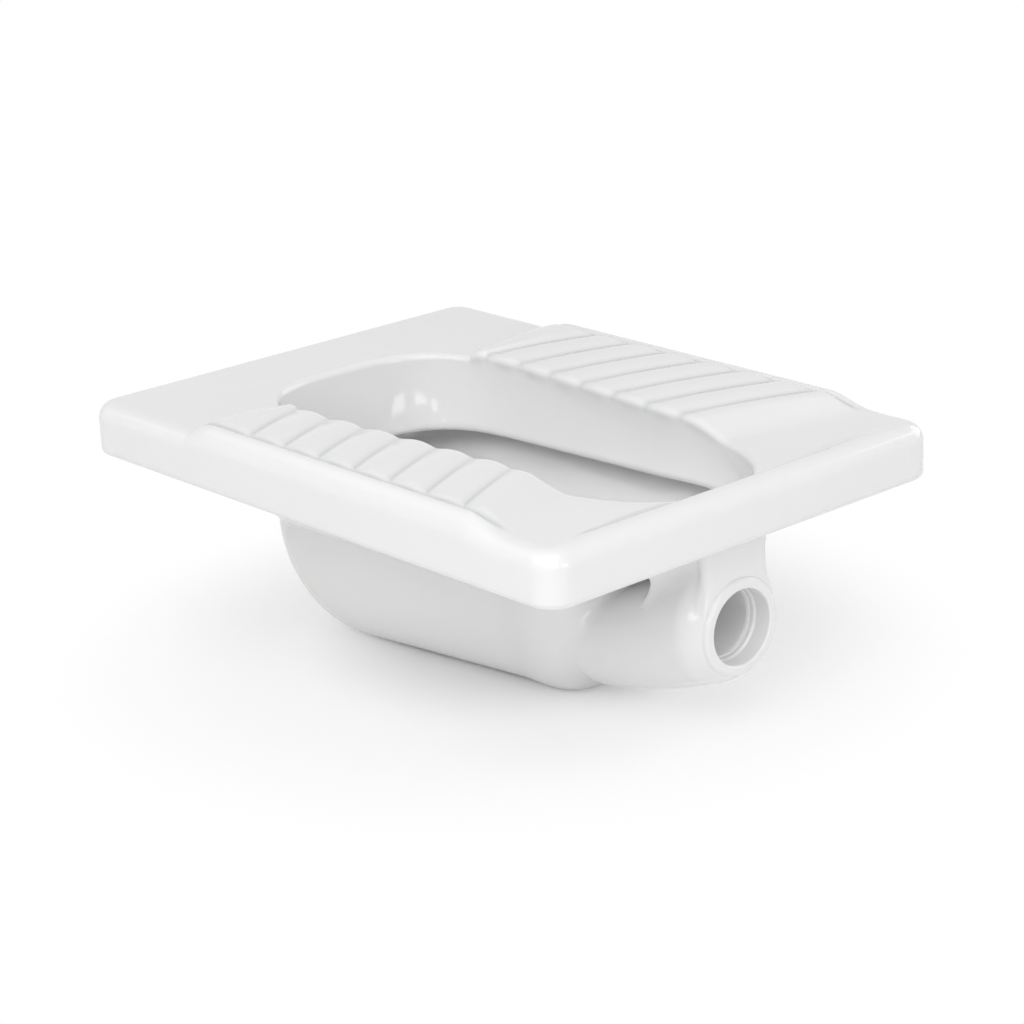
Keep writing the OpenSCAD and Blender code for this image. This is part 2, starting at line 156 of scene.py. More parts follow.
def eased(row, width, mode="edge", **pad):
    """A row of numbers, averaged over a bell of an odd width."""
    weights = np.hanning(width)
    return np.convolve(np.pad(row, width // 2, mode=mode, **pad), weights / weights.sum(),
                       "valid")


def quarter_turn(count):
    """The angles of a quarter turn in equal steps, without the first."""
    return np.radians(np.linspace(0, 90, count)[1:])


def full_turn(count):
    return np.linspace(0, 2 * math.pi, count + 1)[:-1]


def rounded_end(angles, start, reach, half, power):
    """Points on a quarter of a superellipse, from its tip to its side."""
    return (start + (reach - start) * np.cos(angles) ** (2 / power),
            half * np.sin(angles) ** (2 / power))


def even_steps(x, y, along, count):
    """Values of a curve's running number at evenly spaced points of it."""
    way = np.concatenate([[0], np.cumsum(np.hypot(np.diff(x), np.diff(y)))])
    return np.interp(np.linspace(0, way[-1], count + 1), way, along)


def ramp_share(t, ease=0.1):
    """0 to 1 along a straight side, easing at both ends so that it runs into the rounded ends."""
    t = np.clip(t, 0, 1)
    slope = 1 / (1 - ease)
    low = slope * t * t / (2 * ease)
    high = 1 - slope * (1 - t) ** 2 / (2 * ease)
    return np.where(t < ease, low, np.where(t > 1 - ease, high, slope * (t - ease / 2)))


def smooth_min(a, b, k):
    """The lower of two values, eased over a band of k where they are alike."""
    h = np.clip(k - np.abs(a - b), 0, None) / k
    return np.minimum(a, b) - h * h * k / 4


def smooth_max(a, b, k):
    return -smooth_min(-a, -b, k)


class Pan:
    """Outlines, heights and sections of the pan, in millimetres, from the sizes in the panel."""

    # How far the opening, the bowl's parts and the treads stand inside the deck's outline
    back_inset, front_inset, wide_inset, narrow_inset = 85, 33, 109.5, 123.5
    wide_start, narrow_start, sump_start, tread_start = 103, 137, 107, 146
    wide_power, narrow_power, sump_power = 3.0, 2.2, 3.2
    lip_wall, channel_w, channel_d, tuck_d, floor_t = 8.0, 17.0, 98.0, 14.0, 11.0
    lip_d_wide, lip_d_narrow = 77.0, 49.5
    dish_wide, dish_narrow = 4.5, 10.5
    deck_seat = 8.0
    rib_slant = 0.57
    tread_low, tread_high, ramp_len = 0.6, 7.9, 66
    border_inset, crease_inset, ridge_inset = 18.5, 18.0, 17.0
    crease_half, ridge_rise, ridge_foot = 2.6, 5.5, 9.0
    foot_r = 6.0
    outlet_bore, outlet_od, outlet_d, outlet_back = 64.0, 83.0, 123.0, 14.5
    socket_len, root_flare, trap_half_w, trap_lift = 24.0, 12, 60.0, 10.0
    throat_half_w, throat_h, throat_sill = 34.0, 32.0, 6.0
    inlet_bore, inlet_od, inlet_len, inlet_d = 36.0, 50.0, 34.0, 72.0
    top_of_bowl_d = 33.0

    def __init__(self, sizes, rests):
        self.x1, self.y1 = sizes.deck_length / MM / 2, sizes.deck_width / MM / 2
        self.h, self.skirt = sizes.deck_height / MM, sizes.skirt_depth / MM
        self.wall, self.corner_r = sizes.deck_wall / MM, sizes.corner_radius / MM
        self.edge_r, self.rim_r = sizes.edge_radius / MM, sizes.rim_radius / MM
        self.lean, self.china = sizes.lip_lean / MM, sizes.china / MM
        self.fillet = sizes.web_fillet / MM
        self.border_h, self.crease = rests.border_height / MM, rests.crease_depth / MM
        self.first, self.last = rests.first_groove / MM, rests.last_groove / MM
        self.grooves = rests.groove_count
        self.back, self.front = self.x1 - self.back_inset, self.x1 - self.front_inset
        self.half_wide = self.y1 - self.wide_inset
        self.half_narrow = self.y1 - self.narrow_inset
        self.wide_x, self.narrow_x = self.back - self.wide_start, self.front - self.narrow_start
        self.sump_x = self.front - self.sump_start
        self.border_y = self.y1 - self.border_inset
        self.inner_y = (self.half_wide + self.half_narrow) / 2
        self.start_x = self.tread_start - self.x1
        self.end_in, self.end_out = self.last + 6, self.last + self.ramp_len
        self.outlet_x, self.outlet_z = self.x1 - self.outlet_back, self.h - self.outlet_d
        self.socket_x = self.outlet_x - self.socket_len
        self.root_r = self.outlet_od / 2 + self.root_flare
        self.inlet_x = -(self.back + self.lip_wall + self.channel_w + self.china)
        self._bowl_tables()
        self._trap_tables()
        self._passage_tables()

    def half_at(self, x, off=0.0):
        """Half width of the opening along the pan, moved outwards."""
        wide_p, narrow_p = self.wide_power, self.narrow_power
        f = np.clip((x - self.narrow_x) / (self.front + off - self.narrow_x), 0, 1)
        b = np.clip((-x - self.wide_x) / (self.back + off - self.wide_x), 0, 1)
        side = mix(self.half_wide, self.half_narrow,
                   ramp_share((x + self.wide_x) / (self.wide_x + self.narrow_x)))
        narrow = (self.half_narrow + off) * (1 - f ** narrow_p) ** (1 / narrow_p)
        wide = (self.half_wide + off) * (1 - b ** wide_p) ** (1 / wide_p)
        return np.where(x > self.narrow_x, narrow, np.where(x < -self.wide_x, wide, side + off))

    def along(self, x):
        """Share of the way from the opening's wide end to its narrow end."""
        return np.clip((x + self.back) / (self.back + self.front), 0, 1)

    def dish(self, x):
        """Height of the deck beside the opening over the deck's edge: below it, so negative."""
        return -mix(self.dish_wide, self.dish_narrow, self.along(x))

    def lip_depth(self, x):
        """How far the lip hangs down from the level of the deck's edge."""
        return mix(self.lip_d_wide, self.lip_d_narrow, self.along(x))

    # ---- The bowl ----

    def _bowl_tables(self):
        off = self.lip_wall + self.channel_w + self.china
        front_off = self.lip_wall + 0.5 + self.china
        narrow = self.half_narrow
        self.waist_d = self.channel_d + self.tuck_d
        # Depth, back reach, half width, front start, front reach, half width and power
        rows = np.array([
            [self.top_of_bowl_d, self.back + off, self.half_wide + off, self.narrow_x,
             self.front + front_off, narrow + off, 2.2],
            [56, self.back + off, self.half_wide + off, self.narrow_x,
             self.front + front_off - 10, narrow + off - 2, 2.2],
            [80, self.back + off, self.half_wide + off - 4, self.narrow_x - 12,
             self.front - 42, narrow + off - 14, 2.5],
            [98, self.back + off, self.half_wide + self.channel_w, self.narrow_x - 25,
             self.sump_x + 18, narrow + 4, 2.9],
            [self.waist_d, self.back + 7, self.half_wide + 6, self.narrow_x - 35, self.sump_x + 2,
             narrow - 10, 3.2]])
        foot = [self.back - 97, self.half_wide - 48, self.narrow_x - 45, self.sump_x - 36,
                narrow - 61, self.sump_power]
        self.bowl_waist, self.bowl_foot = rows[-1, 1:], np.array(foot)
        depth = np.arange(0, self.waist_d + 0.01, 0.25)
        flat = np.array([np.interp(depth, rows[:, 0], rows[:, k]) for k in range(1, 7)])
        # The rows above the waist are eased into one another, and into the waist
        blend = smooth((depth - (self.waist_d - 8)) / 8)
        self.bowl_depth = depth
        self.bowl_table = mix(np.array([eased(row, 53) for row in flat]),
                              self.bowl_waist[:, None], blend)

    def bowl_row(self, depth):
        """Back reach, half width, front start, front reach, half width and power."""
        below = np.clip((depth - self.waist_d) / (self.h - self.waist_d), 0, 1)
        c = 1 - np.sqrt(1 - below ** 2)
        return [np.interp(depth, self.bowl_depth, row) + c * (foot - waist)
                for row, foot, waist in zip(self.bowl_table, self.bowl_foot,
                                            self.bowl_waist)]

    def bowl_gauge(self, x, y, z, inset=0.0):
        """1 on the bowl's outside, more outside it."""
        back, hw, xs, front, hn, power = self.bowl_row(self.h - z)
        y = np.abs(y)
        f = np.clip((x - xs) / (front - inset - xs), 0, None)
        b = np.clip((-x - self.wide_x) / (back - inset - self.wide_x), 0, None)
        side = mix(hw, hn, ramp_share((x + self.wide_x) / (self.wide_x + xs))) - inset
        ends_n = (f ** power + (y / (hn - inset)) ** power) ** (1 / power)
        ends_w = (b ** self.wide_power + (y / (hw - inset)) ** self.wide_power) ** (
            1 / self.wide_power)
        return np.where(x > xs, ends_n, np.where(x < -self.wide_x, ends_w, y / side))

    def bowl_field(self, x, y, z):
        """About the distance to the bowl's outside."""
        return normalised(lambda a, b, c: self.bowl_gauge(a, b, c) - 1, x, y, z)

    # ---- The trap and the outlet's outside, as one run of oval sections ----

    def _trap_tables(self):
        x = np.arange(self.sump_x - 60, self.outlet_x + 30.1, 0.5)
        a, b = self.sump_x - 2, self.socket_x
        t = np.clip((x - a) / (b - a), 0, 1)
        low = mix(self.trap_lift, self.outlet_z - self.root_r, t ** 1.6)
        high = mix(self.h - self.waist_d - 6, self.outlet_z + self.root_r, t)
        wide = mix(self.trap_half_w, self.root_r, smooth(t)) + 2 * (
            1 - np.minimum(1, 5 * t)) ** 2
        s = np.clip((x - b) / (self.socket_len - 4), 0, 1)
        r = mix(self.root_r, self.outlet_od / 2, s ** 1.5)
        low = np.where(x > b, self.outlet_z - r, low)
        high = np.where(x > b, self.outlet_z + r, high)
        wide = np.where(x > b, r, wide)
        keep = smooth((x - (self.socket_x + 8)) / 10)
        low, high, wide = (mix(eased(row, 33), row, keep) for row in (low, high, wide))
        self.trap_x = x
        self.trap_rows = np.array([(low + high) / 2, (high - low) / 2, wide])

    def trap_section(self, x):
        """The trap's outside: middle, half height and half width."""
        return [np.interp(x, self.trap_x, row) for row in self.trap_rows]

    def trap_field(self, x, y, z):
        """About the distance to the outside of the trap and the outlet."""
        return oval_field(self.trap_section, x, y, z)

    def _passage_tables(self):
        """How far the passage has risen, its half height and its half width, from the sump."""
        stop_r, throat = self.outlet_bore / 2 - 3, self.throat_h / 2
        shares = np.array([
            [-0.3, 0.0, throat, self.throat_half_w],
            [0.06, 0.026, throat + 1, self.throat_half_w + 2],
            [0.197, 0.26, throat + 12, self.throat_half_w + 4],
            [0.355, 0.707, throat + 13, self.throat_half_w + 3],
            [0.532, 1, stop_r - 6, stop_r + 6],
            [0.749, 1, stop_r - 3, stop_r + 2],
            [1, 1, stop_r, stop_r], [1.3, 1, stop_r, stop_r]])
        self.passage_t = np.arange(-0.3, 1.3, 0.002)
        self.passage_rows = [eased(np.interp(self.passage_t, shares[:, 0], column), 61)
                             for column in shares[:, 1:].T]

    def passage_section(self, x):
        """The trap's inside: middle, half height and half width."""
        throat_z = self.floor_t + self.throat_sill + self.throat_h / 2
        u = (x - self.sump_x) / (self.socket_x - self.sump_x)
        rise, tall, wide = (np.interp(u, self.passage_t, row) for row in self.passage_rows)
        return mix(throat_z, self.outlet_z, rise), tall, wide

    def passage_field(self, x, y, z):
        """About the distance to the wall of the passage."""
        return oval_field(self.passage_section, x, y, z)

    def support_field(self, x, y):
        """The web between the trap and the deck, as an upright of changing width."""
        front, rear = self.outlet_x - 4, mix(self.sump_x, self.socket_x, 0.58)
        waist = mix(rear, front, 0.72)
        half_waist, half_front, half_rear, corner = 28.0, 35.0, 40.5, 7.0
        way = np.linspace(rear, front, 40)
        half = np.interp(x, way, np.where(
            way > waist,
            mix(half_waist, half_front, smooth((way - waist) / (front - 6 - waist))),
            mix(half_waist, half_rear, ((waist - way) / (waist - rear)) ** 2)))
        ends = np.maximum(x - front, rear - x)
        return smooth_max(np.abs(y) - half, ends, corner)


def normalised(gauge, x, y, z, step=0.5):
    """A gauge divided by its slope, which is about the distance to its zero."""
    gx = (gauge(x + step, y, z) - gauge(x - step, y, z)) / (2 * step)
    gy = (gauge(x, y + step, z) - gauge(x, y - step, z)) / (2 * step)
    gz = (gauge(x, y, z + step) - gauge(x, y, z - step)) / (2 * step)
    return gauge(x, y, z) / np.sqrt(gx * gx + gy * gy + gz * gz + 1e-8)


def oval_field(section, x, y, z):
    """About the distance to a tube whose section along x is an upright oval."""
    def gauge(a, b, c):
        mid, tall, wide = section(a)
        return np.sqrt(((c - mid) / tall) ** 2 + (b / wide) ** 2) - 1
    return normalised(gauge, x, y, z)


# ---- Meshes ----


def weld(points, faces):
    """Points that lie on one another become one, and faces that fold away are left out."""
    keys, index = np.unique(np.round(points, 4), axis=0, return_inverse=True)
    index = index.ravel()
    first = np.zeros(len(keys), int)
    first[index[::-1]] = np.arange(len(points))[::-1]
    kept = []
    for face in index[np.asarray(faces)]:
        ring = [v for k, v in enumerate(face) if v != face[k - 1]]
        if len(set(ring)) == len(ring) and len(ring) > 2:
            kept.append([int(v) for v in ring])
    return points[first], kept


def new_piece(name, points, faces, sharp=38.0):
    """A smooth-shaded object from points in millimetres, with its sharp edges marked."""
    mesh = bpy.data.meshes.new(name)
    mesh.from_pydata((np.asarray(points) * MM).tolist(), [], [list(map(int, f)) for f in faces])
    mesh.validate()
    mesh.polygons.foreach_set("use_smooth", [True] * len(mesh.polygons))
    mesh.set_sharp_from_angle(angle=math.radians(sharp))
    piece = bpy.data.objects.new(name, mesh)
    bpy.context.scene.collection.objects.link(piece)
    # A closed mesh that came out inside out is turned the right way round
    shell = bmesh.new()
    shell.from_mesh(piece.data)
    if shell.calc_volume(signed=True) < 0:
        bmesh.ops.reverse_faces(shell, faces=shell.faces)
        shell.to_mesh(piece.data)
    shell.free()
    piece.data.update()
    return piece


def grid_faces(rows, columns, close_rows=False, close_columns=False):
    """Four-sided faces between the points of a grid."""
    r = np.arange(rows if close_rows else rows - 1)
    c = np.arange(columns if close_columns else columns - 1)
    R, C = (a.ravel() for a in np.meshgrid(r, c, indexing="ij"))
    R2, C2 = (R + 1) % rows, (C + 1) % columns
    return np.stack([R * columns + C, R * columns + C2, R2 * columns + C2, R2 * columns + C], 1)


def capped_tube(rings):
    """Points and faces of a tube of rings, each end closed by three rings and a fan."""
    n = len(rings[0])
    points = np.concatenate(rings)
    faces = grid_faces(len(rings), n, close_columns=True).tolist()
    for base, ring, flip in ((0, rings[0], True), ((len(rings) - 1) * n, rings[-1], False)):
        start, centre = len(points), ring.mean(0)
        points = np.concatenate([points] + [centre + (ring - centre) * share
                                            for share in (0.75, 0.5, 0.25)] + [centre[None]])
        loops = [base] + [start + k * n for k in range(3)]
        made = []
        for a, b in zip(loops[:-1], loops[1:]):
            made += [[a + i, a + (i + 1) % n, b + (i + 1) % n, b + i] for i in range(n)]
        middle = start + 3 * n
        made += [[loops[-1] + i, loops[-1] + (i + 1) % n, middle] for i in range(n)]
        faces += [f[::-1] for f in made] if flip else made
    return points, faces


def surface_net(field, low, high, step, settle=4):
    """Points and faces of the closed surface where a field is zero, negative inside."""
    axes = [np.arange(low[k], high[k] + step, step) for k in range(3)]
    grid = np.meshgrid(*axes, indexing="ij")
    value = field(*grid)
    inside = value < 0
    shape = np.array(value.shape)
    corner = {(i, j, k): tuple(slice(c, s - 1 + c) for c, s in zip((i, j, k), shape))
              for i in (0, 1) for j in (0, 1) for k in (0, 1)}
    held = sum(inside[s].astype(np.int8) for s in corner.values())
    mixed = (held > 0) & (held < len(corner))
    cells = np.argwhere(mixed)
    index = np.full(mixed.shape, -1)
    index[mixed] = np.arange(len(cells))
    total, count = np.zeros((len(cells), 3)), np.zeros(len(cells))
    for axis in range(3):
        for start in [c for c in corner if c[axis] == 0]:
            end = tuple(1 if k == axis else c for k, c in enumerate(start))
            a, b = value[corner[start]][mixed], value[corner[end]][mixed]
            cut = (a < 0) != (b < 0)
            share = np.where(cut, a / np.where(cut, a - b, 1), 0)
            place = (cells + np.array(start)).astype(float)
            place[:, axis] += share
            total[cut] += place[cut]
            count[cut] += 1
    points = total / count[:, None] * step + np.array(low)
    rest = points.copy()
    for _ in range(settle):
        points = points - settle_step(field, points)
        points = rest + np.clip(points - rest, -0.6 * step, 0.6 * step)
    faces = []
    for axis in range(3):
        u, v = (axis + 1) % 3, (axis + 2) % 3
        edge_a = [slice(None)] * 3
        edge_b = [slice(None)] * 3
        edge_a[axis], edge_b[axis] = slice(0, -1), slice(1, None)
        a, b = inside[tuple(edge_a)], inside[tuple(edge_b)]
        for way, wanted in ((False, a & ~b), (True, ~a & b)):
            at = np.argwhere(wanted)
            at = at[(at[:, u] > 0) & (at[:, v] > 0) & (at[:, u] < shape[u] - 1)
                    & (at[:, v] < shape[v] - 1)]
            four = []
            for du, dv in ((1, 1), (0, 1), (0, 0), (1, 0)):
                cell = at.copy()
                cell[:, u] -= du
                cell[:, v] -= dv
                four.append(index[tuple(cell.T)])
            quad = np.stack(four, 1)
            faces.append(quad[:, ::-1] if way else quad)
    return points, np.concatenate(faces)


def settle_step(field, points, h=0.05):
    """How far points have to move along a field's slope to stand on its zero."""
    x, y, z = points.T
    value = field(x, y, z)
    slope = np.stack([(field(x + h, y, z) - field(x - h, y, z)),
                      (field(x, y + h, z) - field(x, y - h, z)),
                      (field(x, y, z + h) - field(x, y, z - h))], 1) / (2 * h)
    size = (slope ** 2).sum(1) + 1e-6
    return slope * (value / size)[:, None]


# ---- The top: lines from the opening's edge out to the deck's side ----


class TopLines:
    """Matched points on one half of the top, on lines from the outlet end to the wide end."""

    end_n, corner_n, tip_n, rib_n = 56, 16, 18, 26

    def __init__(self, pan):
        self.pan = pan
        self.q, border_rise, inner_rise = (v[::-1] for v in self.stations())
        self.x_in = self.inner_x(self.q)
        self.outer = self.outline_lines()
        self.count = len(self.outer)
        front, back = self.front_n, self.count - self.front_n - len(self.q)
        self.zone = slice(front, front + len(self.q))
        self.offsets = np.arange(-17.0, 9.0)
        self.table = np.array([self.opening_lines(off, front, back) for off in self.offsets])
        self.dish = pan.dish(self.opening(0.0)[:, 0])
        self.deep = -pan.lip_depth(self.opening(0.0)[:, 0])
        self.border_rise, self.inner_rise = np.zeros((2, self.count))
        self.border_rise[self.zone] = border_rise
        self.inner_rise[self.zone] = inner_rise

    def stations(self):
        """Where a footrest's lines meet the border, and its rise at the border and the rim."""
        pan = self.pan
        pitch = (pan.last - pan.first) / (pan.grooves - 1)
        start = pan.start_x - 5
        # The lines of a rib crowd towards its grooves
        t = np.arange(self.rib_n) / self.rib_n
        t = t - 0.11 * np.sin(2 * np.pi * t)
        ribs = [pan.first + pitch * (k + t) for k in range(pan.grooves - 1)]
        q = np.concatenate([np.linspace(start, pan.first, 41)[:-1], *ribs,
                            np.linspace(pan.last, pan.end_out, 35)])
        t = np.clip((q - start) / 33, 0, 1)
        rise = mix(smooth(t), t * (2 - t), 0.85)
        t = np.clip((q - pan.last - 11) / (pan.end_out - pan.last - 11), 0, 1)
        at_border = rise * (1 - t) ** 3 * (1 + 3 * t)
        t = np.clip((q - pan.last) / (pan.end_out - pan.last), 0, 1)
        return q, at_border, rise * (1 - t) ** 1.6 * (1 + 1.6 * t)

    def inner_x(self, q):
        """Where a line of a footrest crosses the opening's side."""
        pan = self.pan
        slant = pan.rib_slant * (pan.border_y - pan.inner_y)
        a, f = pan.start_x, pan.first
        marks = np.array([[a - 5, a - 4], [a + 6, a], [a + 16, a + 4], [a + 26, a + 6],
                          [a + 36, a + 8], [f - 18, a + 9], [f - 9, a + 9.5], [f, f - slant],
                          [pan.last, pan.last - slant], [pan.end_out, pan.end_in]])
        fine = np.arange(marks[0, 0] - 8, marks[-1, 0] + 8.1, 0.5)
        placed = np.interp(fine, marks[:, 0], marks[:, 1])
        placed += np.minimum(fine - marks[0, 0], 0) + np.maximum(fine - marks[-1, 0], 0)
        return np.interp(q, fine, eased(placed, 19, "reflect", reflect_type="odd"))

    def outline_lines(self):
        """Kind and place of every line on the deck's outline."""
        pan = self.pan
        cx, cy = pan.x1 - pan.corner_r, pan.y1 - pan.corner_r
        across = np.linspace(0, cy, self.end_n + 1)[:-1]
        turn = np.linspace(0, math.pi / 2, self.corner_n + 1)[:-1]
        tip = np.linspace(cx, self.q[0], self.tip_n + 1)[:-1]
        back = np.linspace(self.q[-1], -cx, 31)[1:]
        lines = [("front", v) for v in across] + [("front turn", v) for v in turn]
        lines += [("side", v) for v in tip]
        self.front_n = len(lines)
        lines += [("side", v) for v in self.q] + [("side", v) for v in back]
        lines += [("back turn", v) for v in turn[::-1] if v > 0]
        lines += [("back turn", 0.0)] + [("back", v) for v in across[::-1]]
        return lines

    def outline(self, inset):
        """Points on the deck's outline, moved inwards."""
        pan = self.pan
        r = pan.corner_r - inset
        cx, cy = pan.x1 - pan.corner_r, pan.y1 - pan.corner_r
        found = []
        for kind, v in self.outer:
            sign = -1 if kind.startswith("back") else 1
            if kind in ("front", "back"):
                found.append((sign * (pan.x1 - inset), v))
            elif kind == "side":
                found.append((v, pan.y1 - inset))
            else:
                found.append((sign * (cx + r * math.cos(v)), cy + r * math.sin(v)))
        return np.array(found)

    def opening_lines(self, off, front, back):
        """Points on the opening's outline, moved outwards by one offset."""
        pan = self.pan
        y = np.full(len(self.q), pan.inner_y)
        for _ in range(30):
            x = self.q + (self.x_in - self.q) * (pan.border_y - y) / (
                pan.border_y - pan.inner_y)
            y = pan.half_at(x, off)
        ends = []
        for count, start, reach, half, power, at in (
                (front, pan.narrow_x, pan.front, pan.half_narrow, pan.narrow_power, x[0]),
                (back, pan.wide_x, pan.back, pan.half_wide, pan.wide_power, -x[-1])):
            share = (at - start) / (reach + off - start)
            stop = math.acos(np.clip(share, 0, 1) ** (power / 2))
            fine = stop * np.linspace(0, 1, 4001) ** 1.5
            end = (start, reach + off, half + off, power)
            angles = even_steps(*rounded_end(fine, *end), fine, count)[:-1]
            ends.append(rounded_end(angles, *end))
        xs = np.concatenate([ends[0][0], x, -ends[1][0][::-1]])
        ys = np.concatenate([ends[0][1], y, ends[1][1][::-1]])
        return np.stack([xs, ys], 1)

    def opening(self, off):
        """Points on the opening's outline, moved outwards by one offset or one for each line."""
        k = np.clip(np.broadcast_to(off, (self.count,)) - self.offsets[0], 0,
                    len(self.offsets) - 1.001)
        low = k.astype(int)
        share = (k - low)[:, None]
        i = np.arange(self.count)
        return mix(self.table[low, i], self.table[low + 1, i], share)


def rows_on(lines, rows):
    """Stacks (plan points, height) pairs into one array of rows, lines and coordinates."""
    return np.array([np.column_stack([xy, np.broadcast_to(z, (lines.count,))])
                     for xy, z in rows])


DECK_SHARES = [0.012, 0.026, 0.043, 0.064, 0.09, 0.125, 0.17, 0.225, 0.285, 0.35, 0.415, 0.48,
               0.545, 0.61, 0.67, 0.722, 0.765, 0.80, 0.825, 0.845, 0.862, 0.877, 0.89, 0.902,
               0.913, 0.924, 0.935, 0.947, 0.96, 0.973, 0.986, 1.0]
SEAM_IN_LIP, SEAM_IN_SKIRT = 16.0, 22.0
BEAD_R, FULL_LEAN_DEPTH = 4.0, 62.0
SKIRT_COVE, FOOT_EASE = 8.0, 3.0


def lip_offset(lines, z):
    """How far the lip's front stands off the opening's outline at a height, leaning inwards."""
    top, low = lines.dish - lines.pan.rim_r, lines.deep + BEAD_R
    t = np.clip((top - z) / (top - low), 0, 1)
    return -lines.pan.lean * ((top - low) / FULL_LEAN_DEPTH) ** 0.7 * t * t


def rim_pocket_rows(lines, level):
    """Rows of the rim from where the deck begins to the seam in the lip, at a given level."""
    pan = lines.pan
    rows = [(lines.opening(off), level) for off in (pan.deck_seat, pan.deck_seat - 1)]
    for phi in np.radians(np.linspace(90, 0, 9)):
        rows.append((lines.opening(pan.rim_r * (1 - math.cos(phi))),
                     level - pan.rim_r * (1 - math.sin(phi))))
    for t in np.linspace(0, 1, 9)[1:]:
        z = mix(level - pan.rim_r, lines.dish - SEAM_IN_LIP, t)
        rows.append((lines.opening(lip_offset(lines, z)), z))
    return rows_on(lines, rows)


def rim_lower_rows(lines):
    """Rows of the lip from its seam round the bead and up its back to the deck."""
    pan = lines.pan
    seam, low = lines.dish - SEAM_IN_LIP, lines.deep + BEAD_R
    rows = [(lines.opening(lip_offset(lines, z)), z)
            for z in (mix(seam, low, t) for t in np.linspace(0, 1, 13)[1:])]
    tip = lip_offset(lines, low)
    for psi in np.radians(np.linspace(0, 180, 13)[1:]):
        rows.append((lines.opening(tip + BEAD_R * (1 - math.cos(psi))),
                     low - BEAD_R * math.sin(psi)))
    for z in (mix(low, lines.dish - 21, t) for t in np.linspace(0, 1, 7)[1:]):
        behind = np.minimum(lip_offset(lines, z) + pan.lip_wall, pan.deck_seat - 0.6)
        rows.append((lines.opening(behind), z))
    rows.append((lines.opening(pan.deck_seat - 0.3), lines.dish - SEAM_IN_LIP))
    rows.append((lines.opening(pan.deck_seat), lines.dish - pan.wall))
    return rows_on(lines, rows)


def bell(y, middle, half):
    """1 at the middle, falling off on both sides."""
    return np.exp(-((y - middle) / half) ** 2)


def fall(t):
    """Share of the dish that is left, easing into the level edge of the deck."""
    return 0.5 * (t + np.sqrt(t * t + 0.0012))


def deck_pocket_rows(lines):
    """Rows of the plain deck from the rim over its edge to the seam in the skirt."""
    pan = lines.pan
    inner, outer = lines.opening(pan.deck_seat), lines.outline(pan.border_inset)
    rows = [(inner, lines.dish)]
    rows += [(mix(inner, outer, w), lines.dish * fall(1 - w)) for w in DECK_SHARES]
    rows += [(lines.outline(pan.edge_r + d), 0.0) for d in (2.3, 1.2, 0.0)]
    rows += [(lines.outline(pan.edge_r * (1 - math.sin(a))), -pan.edge_r * (1 - math.cos(a)))
             for a in quarter_turn(13)]
    rows += [(lines.outline(0.0), -z) for z in (17.0, 19.5, SEAM_IN_SKIRT)]
    return rows_on(lines, rows)


def deck_lower_rows(lines):
    """Rows of the deck from the seam in the skirt round its foot and back under the deck."""
    pan = lines.pan
    rows = [(lines.outline(0.0), -z) for z in np.linspace(SEAM_IN_SKIRT,
                                                          pan.skirt - pan.foot_r, 7)[1:]]
    rows += [(lines.outline(pan.foot_r * (1 - math.cos(a))),
              -pan.skirt + pan.foot_r * (1 - math.sin(a))) for a in quarter_turn(9)]
    rows += [(lines.outline(pan.wall - FOOT_EASE * (1 - math.sin(a))),
              -pan.skirt + FOOT_EASE * (1 - math.cos(a))) for a in [0.0, *quarter_turn(5)]]
    rows += [(lines.outline(pan.wall), -z)
             for z in np.linspace(pan.skirt - FOOT_EASE, pan.wall + SKIRT_COVE, 6)[1:]]
    rows += [(lines.outline(pan.wall + SKIRT_COVE * (1 - math.cos(a))),
              -pan.wall - SKIRT_COVE * (1 - math.sin(a))) for a in quarter_turn(8)]
    inner, outer = lines.opening(pan.deck_seat), lines.outline(pan.wall + SKIRT_COVE)
    rows += [(mix(inner, outer, w), lines.dish * fall(1 - w) - pan.wall)
             for w in np.linspace(1, 0, 13)[1:]]
    return rows_on(lines, rows)


def raised_rows(lines):
    """The footrest's own surface before its grooves, from the seam in the lip to the skirt's.

    Gives the rows, the share by which each point is raised, and how many rows are on the rim.
    """
    pan, zone = lines.pan, lines.zone
    env, inner = lines.border_rise, lines.inner_rise
    level = mix(lines.dish, pan.tread_low, inner)
    rim = rim_pocket_rows(lines, level)[::-1]
    plain = deck_pocket_rows(lines)
    deck = plain.copy()
    shares = [0.0] + DECK_SHARES
    crease_y, ridge_y = pan.y1 - pan.crease_inset, pan.y1 - pan.ridge_inset
    for k, w in enumerate(shares):
        full = mix(pan.tread_low, pan.tread_high, 1 - (1 - w) ** 1.6)
        full = full - pan.crease * bell(plain[k, :, 1], crease_y, pan.crease_half)
        rise = mix(inner, env, smooth(w))
        deck[k, :, 2] = mix(plain[k, :, 2], full, rise)
    # The border: a valley beside the tread, then a ridge that rounds over to the skirt
    edges = [(pan.edge_r + d, 1.0) for d in (2.3, 1.2, 0.0)]
    edges += [(pan.edge_r * (1 - math.sin(a) ** 1.25), max(math.cos(a), 0) ** 1.25)
              for a in quarter_turn(13)]
    for row, (inset, v) in enumerate(edges, len(shares)):
        y = pan.y1 - inset
        ridge = -pan.ridge_foot + (pan.ridge_foot + pan.border_h) * v
        inside = pan.tread_high - pan.crease * bell(y, crease_y, pan.crease_half)
        z = mix(inside, ridge, smooth((y - ridge_y) / pan.ridge_rise))
        deck[row, :, :2] = mix(plain[row, :, :2], lines.outline(inset), env[:, None])
        deck[row, :, 2] = mix(plain[row, :, 2], z, env)
    for j, z in enumerate((-13.0, -17.5, -SEAM_IN_SKIRT)):
        deck[-3 + j, :, 2] = mix(plain[-3 + j, :, 2], z, env)
    rise = np.array([inner] * (len(rim) - 1) + [mix(inner, env, smooth(w)) for w in shares]
                    + [env] * (len(deck) - len(shares)))
    return np.concatenate([rim[:-1], deck])[:, zone], rise[:, zone], len(rim)


